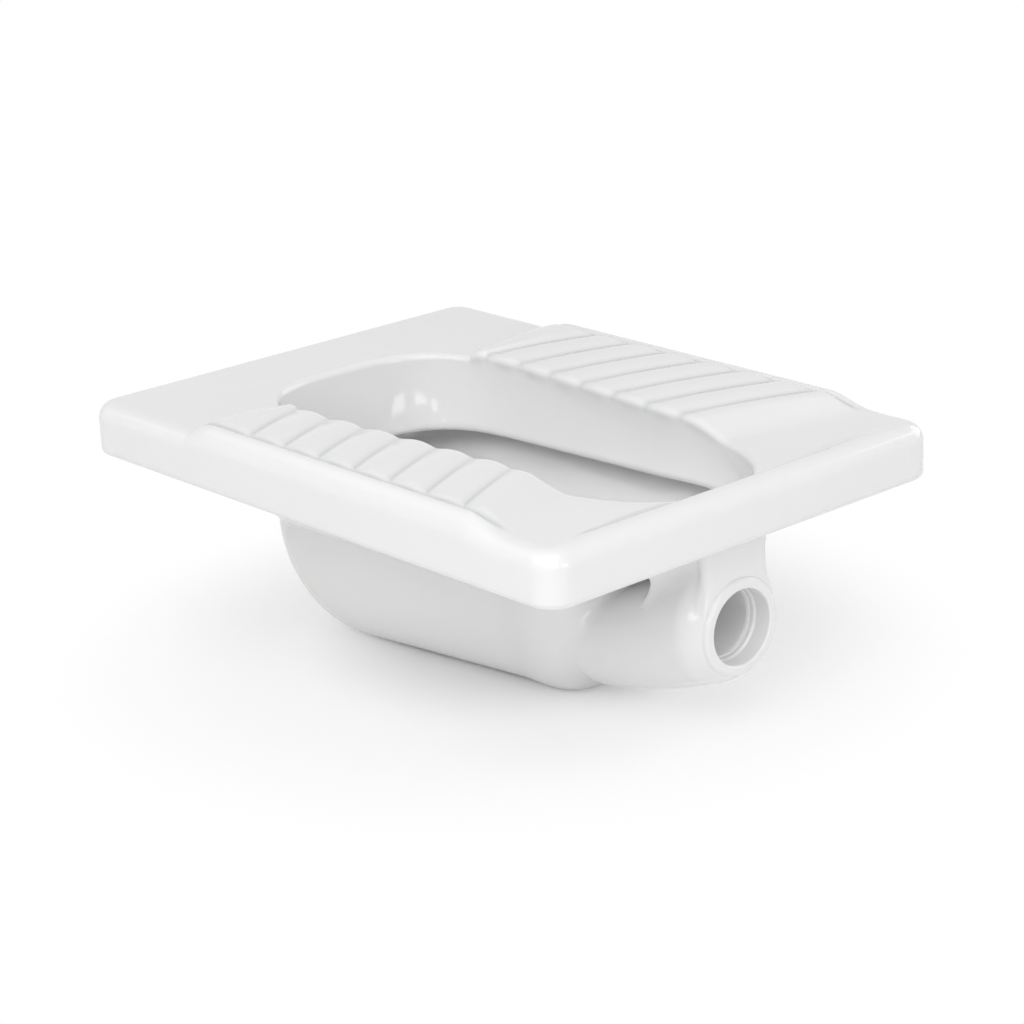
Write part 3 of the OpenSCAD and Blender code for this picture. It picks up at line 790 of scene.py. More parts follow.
def grid_normals(points, row, line):
    """Unit normals of a grid of rows and lines, turned so that one of them points upwards."""
    normal = np.cross(np.gradient(points, axis=0), np.gradient(points, axis=1))
    if normal[row, line, 2] < 0:
        normal = -normal
    return normal / np.maximum(np.linalg.norm(normal, axis=2, keepdims=True), 1e-9)


ACROSS = np.array([1, -1, 1])


def whole(half):
    """Both halves of rows of points, as closed rings."""
    return np.concatenate([half, half[:, -2:0:-1] * ACROSS], axis=1)


def pocketed(lines, pocket, rest, depth=1.0):
    """A closed ring-shaped shell whose pocket rows are sunk where a footrest lies on them."""
    sunk = pocket - grid_normals(pocket, 3, lines.count // 2) * depth
    first, last = lines.zone.start, lines.zone.stop - 1
    order = list(range(first + 1)) + list(range(first, last + 1)) + list(
        range(last, lines.count))
    inside = np.zeros(len(order), bool)
    inside[first + 1:last + 2] = True
    rows = [np.where(inside[:, None], low[order], row[order])
            for row, low in zip(pocket, sunk)]
    rows.append(pocket[-1][order])
    rows += [row[order] for row in rest]
    rings = whole(np.array(rows))
    rings[:, :, 2] += lines.pan.h
    faces = grid_faces(len(rings), rings.shape[1], close_rows=True, close_columns=True)
    return weld(rings.reshape(-1, 3), faces)


def footrest_shell(lines, mirror):
    """A footrest as a closed shell, with the way its ribs rise and the numbers they follow.

    share is how much of a rib's height a point takes, valley how wide the grooves are, and
    crease marks the dip beside the border, which painted shade darkens.
    """
    pan = lines.pan
    top, rise, rim_count = raised_rows(lines)
    plain = np.concatenate([rim_pocket_rows(lines, lines.dish)[::-1][:-1],
                            deck_pocket_rows(lines)])[:, lines.zone]
    # Both grids are turned by a point in the middle of the tread
    bottom = plain - grid_normals(plain, rim_count + 5, 40)
    lift = grid_normals(top, rim_count + 5, 40)
    rows, columns = top.shape[:2]
    y = top[:, :, 1]
    # Ribs end round, short of the border; at the opening they are lower and run down the lip
    end_gap, end_round, at_rim, full_from = 8.0, 7.0, 0.72, 40
    from_rim = y - top[rim_count - 1, :, 1]
    weight = np.sqrt(1 - np.clip((y - pan.border_y + end_gap) / end_round, 0, 1) ** 2.4)
    weight = weight * mix(at_rim, 1, smooth(from_rim / full_from))
    under = np.clip(top[rim_count - 1, :, 2] - top[:rim_count, :, 2], 0, None)
    weight[:rim_count] *= np.interp(under, [0, 3, 6, 9, 13], [1, 0.95, 0.6, 0.2, 0])
    wide_valley = 0.07 + 0.25 * smooth(1 - from_rim / 22)
    weight = weight * np.clip(rise * 1.25, 0, 1)
    edge = np.pad(np.ones((rows - 2, columns - 2)), 1)
    lift = lift * (weight * edge)[:, :, None]
    points = np.concatenate([top.reshape(-1, 3), bottom.reshape(-1, 3)])
    size = rows * columns
    upper = grid_faces(rows, columns)
    lower = upper[:, ::-1] + size
    index = np.arange(size).reshape(rows, columns)
    border = np.concatenate([index[0], index[1:, -1], index[-1, -2::-1], index[-2:0:-1, 0]])
    after = np.roll(border, -1)
    walls = np.stack([border, border + size, after + size, after], 1)
    faces = np.concatenate([upper, lower, walls])
    lift = np.concatenate([lift.reshape(-1, 3), np.zeros((size, 3))])
    # Where painted shade darkens the crease beside the border
    foot = bell(y, pan.border_y, 2.4) * smooth(rise * 3) * edge
    none = np.zeros(size)
    single = {"share": weight * edge, "valley": wide_valley, "crease": foot}
    single = {name: np.concatenate([values.ravel(), none]) for name, values in single.items()}
    single["along"] = np.tile(lines.q, 2 * rows) * MM
    points[:, 2] += pan.h
    if mirror:
        points, lift, faces = points * ACROSS, lift * ACROSS, faces[:, ::-1]
    return points, faces, lift, single


# ---- Nodes, for materials, the floor and the ribs ----


class Socket:
    """An output of a node that can be used in sums and products."""

    def __init__(self, nodes, socket):
        self.nodes, self.socket = nodes, socket

    def maths(self, operation, *others, clamp=False):
        return self.nodes.add("ShaderNodeMath", {"operation": operation, "use_clamp": clamp},
                              [self, *others])

    def __add__(self, other):
        return self.maths("ADD", other)

    def __sub__(self, other):
        return self.maths("SUBTRACT", other)

    def __mul__(self, other):
        return self.maths("MULTIPLY", other)

    def __truediv__(self, other):
        return self.maths("DIVIDE", other)

    def __rsub__(self, other):
        return self.nodes.add("ShaderNodeMath", {"operation": "SUBTRACT"}, [other, self])

    __radd__, __rmul__ = __add__, __mul__

    def above(self, low, high):
        """0 below low, 1 above high, smooth between."""
        return self.nodes.add("ShaderNodeMapRange", {"interpolation_type": "SMOOTHSTEP"},
                              {"Value": self, "From Min": low, "From Max": high})


class Nodes:
    """Adds nodes to one node tree and links them."""

    def __init__(self, tree):
        self.tree = tree

    def add(self, kind, settings=None, inputs=None, output=0):
        node = self.tree.nodes.new(kind)
        for name, value in (settings or {}).items():
            setattr(node, name, value)
        items = inputs.items() if isinstance(inputs, dict) else enumerate(inputs or [])
        for key, value in items:
            self.feed(node.inputs[key], value)
        return Socket(self, node.outputs[output])

    def feed(self, socket, value):
        if isinstance(value, Socket):
            self.tree.links.new(value.socket, socket)
        else:
            socket.default_value = value

    def blend(self, share, a, b):
        """Mixes two colours."""
        node = self.tree.nodes.new("ShaderNodeMix")
        node.data_type = "RGBA"
        for name, value in (("Factor_Float", share), ("A_Color", a), ("B_Color", b)):
            self.feed(next(s for s in node.inputs if s.identifier == name), value)
        return Socket(self, next(s for s in node.outputs if s.identifier == "Result_Color"))

    def noise(self, place, scale, detail=2.0, roughness=0.5):
        return self.add("ShaderNodeTexNoise", {}, {"Vector": place, "Scale": scale,
                                                   "Detail": detail, "Roughness": roughness})

    def bump(self, height, distance, strength=1.0, normal=None):
        inputs = {"Height": height, "Distance": distance, "Strength": strength}
        if normal is not None:
            inputs["Normal"] = normal
        return self.add("ShaderNodeBump", {}, inputs)


# ---- Geometry nodes: the ribs ----


def rib_nodes():
    """Geometry nodes that raise ribs on a tread along its stored lines."""
    tree = bpy.data.node_groups.new("Tread ribs", "GeometryNodeTree")
    tree.is_modifier = True
    face, nodes = tree.interface, Nodes(tree)
    face.new_socket("Geometry", in_out="INPUT", socket_type="NodeSocketGeometry")
    for name, kind, low, high, start in (("First groove", "Float", -1.0, 1.0, -0.085),
                                         ("Pitch", "Float", 0.001, 1.0, 0.045),
                                         ("Rib height", "Float", 0.0, 0.02, 0.0034),
                                         ("Fullness", "Float", 0.0, 1.0, 0.3),
                                         ("Grooves", "Int", 1, 20, 7)):
        socket = face.new_socket(name, in_out="INPUT", socket_type="NodeSocket" + kind)
        socket.min_value, socket.max_value, socket.default_value = low, high, start
    face.new_socket("Material", in_out="INPUT", socket_type="NodeSocketMaterial")
    face.new_socket("Geometry", in_out="OUTPUT", socket_type="NodeSocketGeometry")
    outputs = tree.nodes.new("NodeGroupInput").outputs
    given = {socket.name: Socket(nodes, socket) for socket in outputs if socket.name}

    def stored(name, kind="FLOAT"):
        return nodes.add("GeometryNodeInputNamedAttribute", {"data_type": kind},
                         {"Name": name}, "Attribute")

    phase = (stored("along") - given["First groove"]) / given["Pitch"]
    phase = phase.maths("MAXIMUM", -0.5).maths("MINIMUM", given["Grooves"] - 0.5)
    wave = (phase * math.pi).maths("SINE").maths("ABSOLUTE")
    # The wave's sharp valleys are rounded by the stored width, and its crests filled out
    soft, power = stored("valley"), 1.0 - given["Fullness"] * 0.62
    square = soft * soft
    base, high, rounded = (v.maths("POWER", power) for v in (
        soft, (square + 1.0).maths("SQRT"),
        wave.maths("MULTIPLY_ADD", wave, square).maths("SQRT")))
    profile = (rounded - base) / (high - base)
    raised = nodes.add("ShaderNodeVectorMath", {"operation": "SCALE"},
                       {0: stored("lift", "FLOAT_VECTOR"),
                        "Scale": profile * given["Rib height"]})
    moved = nodes.add("GeometryNodeSetPosition", {},
                      {"Geometry": given["Geometry"], "Offset": raised})
    # Painted shade darkens the glaze in the grooves and in the crease
    groove_shade = (1.0 - profile).maths("POWER", 4.5) * stored("share")
    kept = nodes.add("GeometryNodeStoreNamedAttribute",
                     {"data_type": "FLOAT", "domain": "POINT"},
                     {"Name": "shade_and_mottle", "Geometry": moved,
                      "Value": groove_shade.maths("MAXIMUM", stored("crease"))})
    real = nodes.add("GeometryNodeRealizeInstances", {}, [kept])
    finish = nodes.add("GeometryNodeSetMaterial", {},
                       {"Geometry": real, "Material": given["Material"]})
    nodes.feed(tree.nodes.new("NodeGroupOutput").inputs[0], finish)
    return tree


def keep_result(piece, modifier):
    """Makes what a modifier gives the piece's plain mesh, and removes the modifier."""
    bpy.context.view_layer.update()
    ready = piece.evaluated_get(bpy.context.evaluated_depsgraph_get())
    mesh = bpy.data.meshes.new_from_object(ready)
    piece.modifiers.remove(modifier)
    old, piece.data = piece.data, mesh
    bpy.data.meshes.remove(old)


def with_ribs(piece, tree, values):
    """Runs the rib nodes on a piece and keeps their result as its plain mesh."""
    modifier = piece.modifiers.new("Ribs", "NODES")
    modifier.node_group = tree
    for item in tree.interface.items_tree:
        if item.item_type == "SOCKET" and item.in_out == "INPUT" and item.name in values:
            modifier[item.identifier] = values[item.name]
    keep_result(piece, modifier)
    mesh = piece.data
    mesh.name = piece.name
    for name in ("along", "lift", "share", "valley", "crease"):
        if name in mesh.attributes:
            mesh.attributes.remove(mesh.attributes[name])


# ---- Bowl, trap, outlet, support and inlet ----


def even_angles(power, aspect, count):
    """Angles of evenly spaced points on a quarter of a rounded end."""
    fine = np.linspace(0, 1, 4001) ** 1.5 * math.pi / 2
    return even_steps(*rounded_end(fine, 0, aspect, 1, power), fine, count)


NARROW_ANGLES = even_angles(2.7, 1.2, 72)
WIDE_ANGLES = even_angles(3.0, 0.95, 72)
SIDE_SHARES = np.linspace(1, 0, 49)[1:-1]
# How far a member runs on inside its neighbour, and how loosely the trap sits in the outlet
BURIED, SOCKET_SLACK = 2.6, 0.35


def bowl_ring(pan, depth, inset=0.0, flare=0.0):
    """A closed ring of points on the bowl's outline at a depth, as x and y."""
    back, hw, xs, front, hn, power = pan.bowl_row(depth)
    move = flare - inset
    narrow = rounded_end(NARROW_ANGLES, xs, front + move, hn + move, power)
    wide = rounded_end(WIDE_ANGLES[::-1], pan.wide_x, back + move, hw + move, pan.wide_power)
    x = np.concatenate([narrow[0], mix(-pan.wide_x, xs, SIDE_SHARES), -wide[0]])
    y = np.concatenate([narrow[1], mix(hw, hn, ramp_share(SIDE_SHARES)) + move, wide[1]])
    return (np.concatenate([x, x[-2:0:-1]]), np.concatenate([y, -y[-2:0:-1]]))


def under_level(pan, x, y):
    """About the height of the deck's underside over a point of the bowl's top."""
    seat, border = pan.deck_seat, pan.x1 - pan.border_inset
    beside = pan.half_at(x, seat)
    share = (np.abs(y) - beside) / (pan.border_y - beside)
    end = np.where(x > 0, (x - pan.front - seat) / (border - pan.front - seat),
                   (-x - pan.back - seat) / (border - pan.back - seat))
    share = np.clip(np.maximum(share, end), 0, 1)
    return pan.h - pan.wall + pan.dish(x) * (1 - share)


def ring_at(x, y, z):
    """A ring of points from its plan and its height, which may change along it."""
    return np.stack([x, y, np.broadcast_to(z, x.shape)], 1)


def bowl_shell(pan):
    """The bowl as a closed shell of rings: outside, top inside the deck, inside and floor."""
    depths = np.concatenate([
        pan.waist_d + (pan.h - pan.waist_d) * np.sin(np.radians(np.linspace(90, 0, 34))),
        np.linspace(pan.waist_d, pan.top_of_bowl_d + 1, 34)[1:]])
    rings = [ring_at(*bowl_ring(pan, depth), pan.h - depth) for depth in depths]
    # The outlet end has no room for a flare: it runs close to the skirt
    flare_r, no_room_x, fade = 8, 262, 60
    px, py = bowl_ring(pan, pan.top_of_bowl_d)
    room = smooth((no_room_x - px) / fade)
    for b in quarter_turn(9):
        x, y = bowl_ring(pan, pan.top_of_bowl_d, flare=flare_r * (1 - math.cos(b)))
        x, y = mix(px, x, room), mix(py, y, room)
        rings.append(ring_at(x, y, under_level(pan, x, y) - flare_r * (1 - math.sin(b)) + 1.0))
    x, y = bowl_ring(pan, pan.top_of_bowl_d, flare=1.0)
    rings.append(ring_at(x, y, under_level(pan, x, y) + 4.0))
    x, y = bowl_ring(pan, pan.top_of_bowl_d, inset=pan.china)
    rings += [ring_at(x, y, under_level(pan, x, y) + rise) for rise in (4.0, -3.0)]
    lifts = ([0, 33, 56, 80, 98, 104], [0, 1, 4, 6, 4, 2.2])
    inner = np.concatenate([
        np.linspace(36, pan.waist_d, 32),
        pan.waist_d + (pan.h - pan.waist_d) * np.sin(quarter_turn(34))])
    for depth in inner:
        below = np.clip((depth - 104) / (pan.h - 104), 0, 1)
        lift = np.interp(depth, *lifts) * (1 - below) + pan.floor_t * below ** 2
        rings.append(ring_at(*bowl_ring(pan, depth, inset=pan.china), pan.h - depth + lift))
    return capped_tube(rings)


def cut_away(piece, cutter):
    """Cuts one solid out of another and throws the cutter away."""
    modifier = piece.modifiers.new("Cut", "BOOLEAN")
    modifier.operation, modifier.solver, modifier.object = "DIFFERENCE", "EXACT", cutter
    keep_result(piece, modifier)
    bpy.data.objects.remove(cutter, do_unlink=True)


def oval(x, mid, tall, wide, turns):
    """A ring of points on an upright oval across the pan."""
    return np.stack([np.full(len(turns), x), wide * np.cos(turns), mid + tall * np.sin(turns)],
                    1)


def throat_cutter(pan, turns):
    """The way out of the sump, flared where it leaves the bowl's inside."""
    rings = []
    for x in np.linspace(pan.sump_x - 62, pan.sump_x + 24, 60):
        mid, tall, wide = pan.passage_section(x)
        flare = 7 * smooth((pan.sump_x - 12 - x) / 26) ** 2
        rings.append(oval(x, mid, tall + flare * 0.6, wide + flare, turns))
    return new_piece("throat cutter", *capped_tube(rings))


def inlet_cutter(pan, turns):
    """The hole for the flush water, flared where it meets the bowl's inside."""
    bore, wall_x, inside = pan.inlet_bore / 2, pan.inlet_x, pan.inlet_x + pan.china
    profile = ((wall_x - 6, bore), (inside - 2, bore), (inside, bore + 0.8),
               (inside + 3, bore + 4))
    return new_piece("inlet cutter", *capped_tube([
        oval(x, pan.h - pan.inlet_d, r, r, turns) for x, r in profile]))


def trap_solid(pan):
    """Field of the trap's body, eased into the bowl, with its passage cut out."""
    def field(x, y, z):
        bowl = pan.bowl_field(x, y, z)
        slack = SOCKET_SLACK * smooth((x - pan.socket_x - 0.2) / 1.2)
        body = pan.trap_field(x, y, z) + slack
        shape = smooth_min(body, bowl, pan.fillet) + 0.05
        shape = np.maximum(shape, body - pan.fillet - 1)
        shape = np.maximum(shape, -BURIED - bowl)
        tube = pan.passage_field(x, y, z) - slack
        return np.maximum(np.maximum(shape, -tube), x - pan.socket_x - 2.8)
    return field


def support_solid(pan):
    """Field of the support, eased into the outlet below and the bowl above."""
    def field(x, y, z):
        near = np.minimum(pan.bowl_field(x, y, z), pan.trap_field(x, y, z))
        upright = pan.support_field(x, y)
        shape = smooth_min(upright, near, pan.fillet) + 0.06
        for limit in (upright - pan.fillet - 1, -BURIED - near, x - (pan.outlet_x - 3.5),
                      pan.outlet_z + 12 - z, z - (pan.h - 37)):
            shape = np.maximum(shape, limit)
        return shape
    return field


def net_step():
    return 1.7


def spigot_rings(pan, turns):
    """Rings of the outlet: outside, rounded mouth, stepped bore and back face."""
    end, lip, inner_lip, step_len = pan.outlet_x, 4.0, 1.6, 3.0
    rings = [oval(x, *pan.trap_section(x), turns)
             for x in np.linspace(pan.socket_x, end - lip, 20)]
    outer, bore = pan.outlet_od / 2, pan.outlet_bore / 2
    profile = [(end - lip + lip * math.sin(a), outer - lip + lip * math.cos(a))
               for a in quarter_turn(10)]
    profile += [(end, mix(outer - lip, bore + inner_lip, t)) for t in (0.35, 0.7, 1.0)]
    profile += [(end - inner_lip * (1 - math.cos(a)), bore + inner_lip * (1 - math.sin(a)))
                for a in quarter_turn(6)]
    # Two soft steps, each one rounding into the next
    for depth, r_from, r_to in ((15.0, bore, bore - 1.5), (20.5, bore - 1.5, bore - 3)):
        profile += [(end - depth - step_len * t, mix(r_from, r_to, smooth(t)))
                    for t in np.linspace(0, 1, 10)]
    profile += [(pan.socket_x, bore - 3)]
    return rings + [oval(x, pan.outlet_z, r, r, turns) for x, r in profile]


def inlet_rings(pan, turns):
    """Rings of the flush horn: root, barrel, rounded end and bore."""
    z, wall_x = pan.h - pan.inlet_d, pan.inlet_x
    outer, bore, end = pan.inlet_od / 2, pan.inlet_bore / 2, wall_x - pan.inlet_len
    cove, lip, inner_lip, buried = 7, 3, 2, 3.0
    profile = [(wall_x + buried, outer + cove + 0.6)]
    profile += [(wall_x + 0.6 - cove * (1 - math.cos(a)), outer + cove * (1 - math.sin(a)))
                for a in [0.0, *quarter_turn(12)]]
    profile += [(mix(wall_x - cove, end + lip, t), outer) for t in (0.25, 0.5, 0.75)]
    profile += [(end + lip * (1 - math.sin(a)), outer - lip * (1 - math.cos(a)))
                for a in [0.0, *quarter_turn(9)]]
    profile += [(end, bore + inner_lip)]
    profile += [(end + inner_lip * (1 - math.cos(a)), bore + inner_lip * (1 - math.sin(a)))
                for a in quarter_turn(7)]
    profile += [(mix(end + inner_lip, wall_x, t), bore) for t in (0.3, 0.6, 0.9)]
    profile += [(wall_x + buried, bore)]
    return [oval(x, z, r, r, turns) for x, r in profile]


def looped_tube(rings):
    """Points and faces of rings that run round and meet again, like a pipe with a wall."""
    return weld(np.concatenate(rings), grid_faces(len(rings), len(rings[0]), close_rows=True,
                                                  close_columns=True))


# ---- Materials ----


WHITE, PINHOLE = (1.0, 1.0, 1.0, 1.0), (0.62, 0.60, 0.56, 1.0)


def colour(values):
    return (*values[:3], 1.0)


def glaze_material(look):
    """White glaze over vitreous china: slow waves, fine grain, painted shade in the grooves and
    the crease, and a bare foot.
    """
    name = "White glaze"
    if name in bpy.data.materials:
        return bpy.data.materials[name]
    material = bpy.data.materials.new(name)
    material.use_nodes = True
    nodes = Nodes(material.node_tree)
    shader = material.node_tree.nodes["Principled BSDF"]
    place = nodes.add("ShaderNodeTexCoord", output="Object")
    height, facing = (nodes.add("ShaderNodeSeparateXYZ", {}, [way], "Z") for way in (
        place, nodes.add("ShaderNodeNewGeometry", output="Normal")))
    bare = height.above(0.0011, 0.0006) * facing.above(-0.7, -0.95)
    # Painted shade in the grooves and in the crease, stored by the rib nodes, darkens the glaze
    # towards the shaded glaze colour; cloud and mottle vary its tone at random
    shade_and_mottle = nodes.add("ShaderNodeAttribute", {"attribute_name": "shade_and_mottle"}, output="Fac")
    cloud = nodes.noise(place, 9.0, 3.0)
    mottle = nodes.noise(place, 70.0, 2.0)
    tone = (shade_and_mottle * 0.9 + (cloud - 0.5) * 0.12 + (mottle - 0.5) * 0.05).maths(
        "ADD", 0.15, clamp=True)
    glaze = nodes.blend(tone, colour(look.white), colour(look.shade_and_mottle))
    speck = nodes.add("ShaderNodeTexVoronoi", {"feature": "F1"},
                      {"Vector": place, "Scale": 95.0, "Randomness": 1.0})
    speck_size = nodes.noise(place, 31.0)
    pin = speck.above(0.055, 0.02) * speck_size.above(0.62, 0.68)
    glaze = nodes.blend(pin * 0.25, glaze, PINHOLE)
    grain = nodes.noise(place, 900.0, 2.0)
    biscuit = nodes.blend(grain, colour(look.biscuit),
                          (*[v * 0.86 for v in look.biscuit], 1.0))
    nodes.feed(shader.inputs["Base Color"], nodes.blend(bare, glaze, biscuit))
    smear = nodes.noise(place, 24.0, 3.0)
    rough = (smear - 0.5) * 0.08 + (mottle - 0.5) * 0.04 + look.roughness
    rough = rough + bare * 0.6 + pin * 0.2
    nodes.feed(shader.inputs["Roughness"], rough.maths("MAXIMUM", 0.04))
    waves = nodes.noise(place, 38.0, 2.0)
    peel = nodes.noise(place, 230.0, 2.0, 0.6)
    normal = nodes.bump(waves, look.ripple)
    normal = nodes.bump(peel, look.ripple * 0.16, normal=normal)
    normal = nodes.bump(grain * bare - pin * 0.6, look.ripple * 0.5, normal=normal)
    nodes.feed(shader.inputs["Normal"], normal)
    shader.inputs["IOR"].default_value = 1.52
    return material


def seen_rays(nodes):
    """1 for rays from the camera and for what gloss and glass show, 0 for the light itself."""
    camera, glossy, through = (nodes.add("ShaderNodeLightPath", output=f"Is {name} Ray")
                               for name in ("Camera", "Glossy", "Transmission"))
    return camera.maths("MAXIMUM", glossy).maths("MAXIMUM", through)


def floor_material():
    """A matt white floor that the camera sees as clear white, with its shadows kept."""
    material = bpy.data.materials.new("Studio floor")
    material.use_nodes = True
    tree = material.node_tree
    nodes = Nodes(tree)
    base = tree.nodes["Principled BSDF"]
    place = nodes.add("ShaderNodeTexCoord", output="Object")
    grain = nodes.noise(place, 3.0, 3.0)
    nodes.feed(base.inputs["Base Color"], nodes.blend(grain, (0.90, 0.90, 0.90, 1.0),
                                                      (0.92, 0.92, 0.92, 1.0)))
    base.inputs["Roughness"].default_value = 0.9
    base.inputs["Specular IOR Level"].default_value = 0.0
    glow = nodes.add("ShaderNodeEmission", {}, {"Color": WHITE, "Strength": 1.0})
    away = nodes.add("ShaderNodeVectorMath", {"operation": "LENGTH"}, [place], "Value")
    share = away.above(0.07, 0.20) * 0.56 + away.above(0.20, 0.42) * 0.40 + 0.04
    lit = nodes.add("ShaderNodeMixShader", {}, [seen_rays(nodes) * share,
                                                Socket(nodes, base.outputs[0]), glow])
    # From underneath the camera looks through the floor, so that the foot can be seen
    through = nodes.add("ShaderNodeLightPath", output="Is Camera Ray") * nodes.add(
        "ShaderNodeNewGeometry", output="Backfacing")
    clear = nodes.add("ShaderNodeBsdfTransparent")
    nodes.feed(tree.nodes["Material Output"].inputs["Surface"],
               nodes.add("ShaderNodeMixShader", {}, [through, lit, clear]))
    return material


# ---- Operators ----


class BuildOperator(bpy.types.Operator):
    """What the pan's operators share."""

    bl_options = {"REGISTER", "UNDO"}

    def parts(self, context):
        """The pan's shapes and its material, as the panel sets them."""
        scene = context.scene
        return Pan(scene.pan_sizes, scene.footrest_sizes), glaze_material(scene.glaze_look)

    def dress(self, piece, node, material=None):
        """Gives a piece its glaze, unless it has it, hangs it under the root body and hides the
        solid that it replaces.
        """
        if not piece.data.polygons:
            raise RuntimeError(f"{piece.name} has no faces")
        if material:
            piece.data.materials.clear()
            piece.data.materials.append(material)
        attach(piece, "root")
        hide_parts(node)
        return {"FINISHED"}


class PAN_OT_deck(BuildOperator):
    """Builds the deck with its dish, rounded edge, skirt and the seats of the footrests"""

    bl_idname = "pan.deck"
    bl_label = "Deck"

    def execute(self, context):
        pan, material = self.parts(context)
        lines = TopLines(pan)
        shell = pocketed(lines, deck_pocket_rows(lines), deck_lower_rows(lines))
        return self.dress(new_piece("glazed_deck", *shell), "deck", material)


class PAN_OT_rim(BuildOperator):
    """Builds the lip that hangs inside the opening"""

    bl_idname = "pan.rim"
    bl_label = "Flush rim"

    def execute(self, context):
        pan, material = self.parts(context)
        lines = TopLines(pan)
        shell = pocketed(lines, rim_pocket_rows(lines, lines.dish), rim_lower_rows(lines))
        return self.dress(new_piece("glazed_flush_rim", *shell), "flush_rim", material)


class PAN_OT_footrests(BuildOperator):
    """Builds both treads, their borders and ramps, and raises the ribs on them"""

    bl_idname = "pan.footrests"
    bl_label = "Footrests"

    def execute(self, context):
        pan, material = self.parts(context)
        rests = context.scene.footrest_sizes
        lines = TopLines(pan)
        tree = rib_nodes()
        pitch = (rests.last_groove - rests.first_groove) / (rests.groove_count - 1)
        values = {"First groove": rests.first_groove, "Pitch": pitch,
                  "Rib height": rests.rib_height, "Fullness": rests.rib_fullness,
                  "Grooves": rests.groove_count, "Material": material}
        for node, mirror in (("left_footrest", False), ("right_footrest", True)):
            points, faces, lift, single = footrest_shell(lines, mirror)
            piece = new_piece("glazed_" + node, points, faces)
            attributes = piece.data.attributes
            attributes.new("lift", "FLOAT_VECTOR", "POINT").data.foreach_set("vector",
                                                                             lift.ravel())
            for name, row in single.items():
                attributes.new(name, "FLOAT", "POINT").data.foreach_set("value", row)
            with_ribs(piece, tree, values)
            piece.data.set_sharp_from_angle(angle=math.radians(50))
            self.dress(piece, node)
        bpy.data.node_groups.remove(tree)
        return {"FINISHED"}


class PAN_OT_bowl(BuildOperator):
    """Builds the bowl with its ledge, floor, throat and the hole of the flush inlet"""

    bl_idname = "pan.bowl"
    bl_label = "Bowl"

    def execute(self, context):
        pan, material = self.parts(context)
        piece = new_piece("glazed_bowl", *bowl_shell(pan))
        cut_away(piece, throat_cutter(pan, full_turn(96)))
        cut_away(piece, inlet_cutter(pan, full_turn(64)))
        piece.data.set_sharp_from_angle(angle=math.radians(40))
        return self.dress(piece, "bowl", material)


class PAN_OT_trap(BuildOperator):
    """Builds the trap's body with its passage, eased into the bowl"""

    bl_idname = "pan.trap"
    bl_label = "Trap"

    def execute(self, context):
        pan, material = self.parts(context)
        shell = surface_net(trap_solid(pan), low=(104, -82, 4),
                            high=(pan.socket_x + 6, 82, 162), step=net_step())
        return self.dress(new_piece("glazed_trap", *shell, sharp=42.0), "trap", material)


class PAN_OT_outlet(BuildOperator):
    """Builds the outlet with its flare, rounded mouth and stepped bore"""

    bl_idname = "pan.outlet"
    bl_label = "Outlet"

    def execute(self, context):
        pan, material = self.parts(context)
        shell = looped_tube(spigot_rings(pan, full_turn(160)))
        return self.dress(new_piece("glazed_outlet", *shell), "outlet_spigot", material)


class PAN_OT_support(BuildOperator):
    """Builds the web that ties the outlet to the underside of the pan"""

    bl_idname = "pan.support"
    bl_label = "Trap support"

    def execute(self, context):
        pan, material = self.parts(context)
        shell = surface_net(support_solid(pan), low=(198, -60, 98),
                            high=(pan.outlet_x, 60, 182), step=net_step())
        return self.dress(new_piece("glazed_support", *shell, sharp=42.0), "trap_support",
                          material)


class PAN_OT_inlet(BuildOperator):
    """Builds the horn that takes the flush pipe"""

    bl_idname = "pan.inlet"
    bl_label = "Flush inlet"

    def execute(self, context):
        pan, material = self.parts(context)
        shell = looped_tube(inlet_rings(pan, full_turn(120)))
        return self.dress(new_piece("glazed_flush_inlet", *shell), "flush_inlet", material)


# Azimuth and elevation in degrees, distance and size in metres, and power of each lamp.
# Three small strips give the bright patches on the lip, the rest is broad and soft.
LAMPS = {
    "Outlet strip": (3, 8, 3.2, (0.95, 0.85), 8.2),
    "Corner strip": (-34, 9, 3.2, (1.2, 0.85), 9.6),
    "Near strip": (-60, 15, 3.2, (0.6, 0.75), 4.4),
    "Near softbox": (-95, 35, 3.2, (1.8, 1.2), 17.0),
    "Far softbox": (80, 22, 3.55, (2.6, 2.0), 28.0),
    "Top near softbox": (-43, 53, 3.3, (2.5, 2.5), 40.0),
    "Top left softbox": (-138, 46, 3.5, (2.5, 2.5), 10.0),
}
LAMP_TARGET = np.array([0.0, 0.0, 0.15])
# The camera as fitted to the photo: lens and sensor in millimetres, its place and its axes
LENS, SENSOR = 101.22, 36.0
CAMERA_AT = np.array([1.77168, -1.54080, 0.93918])
CAMERA_BACK = np.array([0.71042, -0.62231, 0.32869])
CAMERA_RIGHT = np.array([0.66889, 0.74226, -0.04041])
FLOOR_RINGS, FLOOR_SIDES = (600.0, 1500.0, 5000.0, 16000.0), 128


def stand(data, at, back, right):
    """Puts a lamp or a camera in the scene, facing against one way, with another on its right."""
    back = back / np.linalg.norm(back)
    right = right - back * right.dot(back)
    right /= np.linalg.norm(right)
    up = np.cross(back, right)
    holder = bpy.data.objects.new(data.name, data)
    bpy.context.scene.collection.objects.link(holder)
    holder.matrix_world = Matrix([[right[k], up[k], back[k], at[k]] for k in range(3)]
                                 + [[0, 0, 0, 1]])
    return holder


def softbox(name, azimuth, elevation, distance, size, power):
    """A rectangular lamp that faces the pan."""
    azimuth, elevation = np.radians((azimuth, elevation))
    back = np.array([math.cos(azimuth) * math.cos(elevation),
                     math.sin(azimuth) * math.cos(elevation), math.sin(elevation)])
    lamp = bpy.data.lights.new(name, "AREA")
    lamp.shape = "RECTANGLE"
    lamp.size, lamp.size_y = size
    lamp.energy = power
    stand(lamp, LAMP_TARGET + distance * back, back, np.cross((0, 0, 1), back))


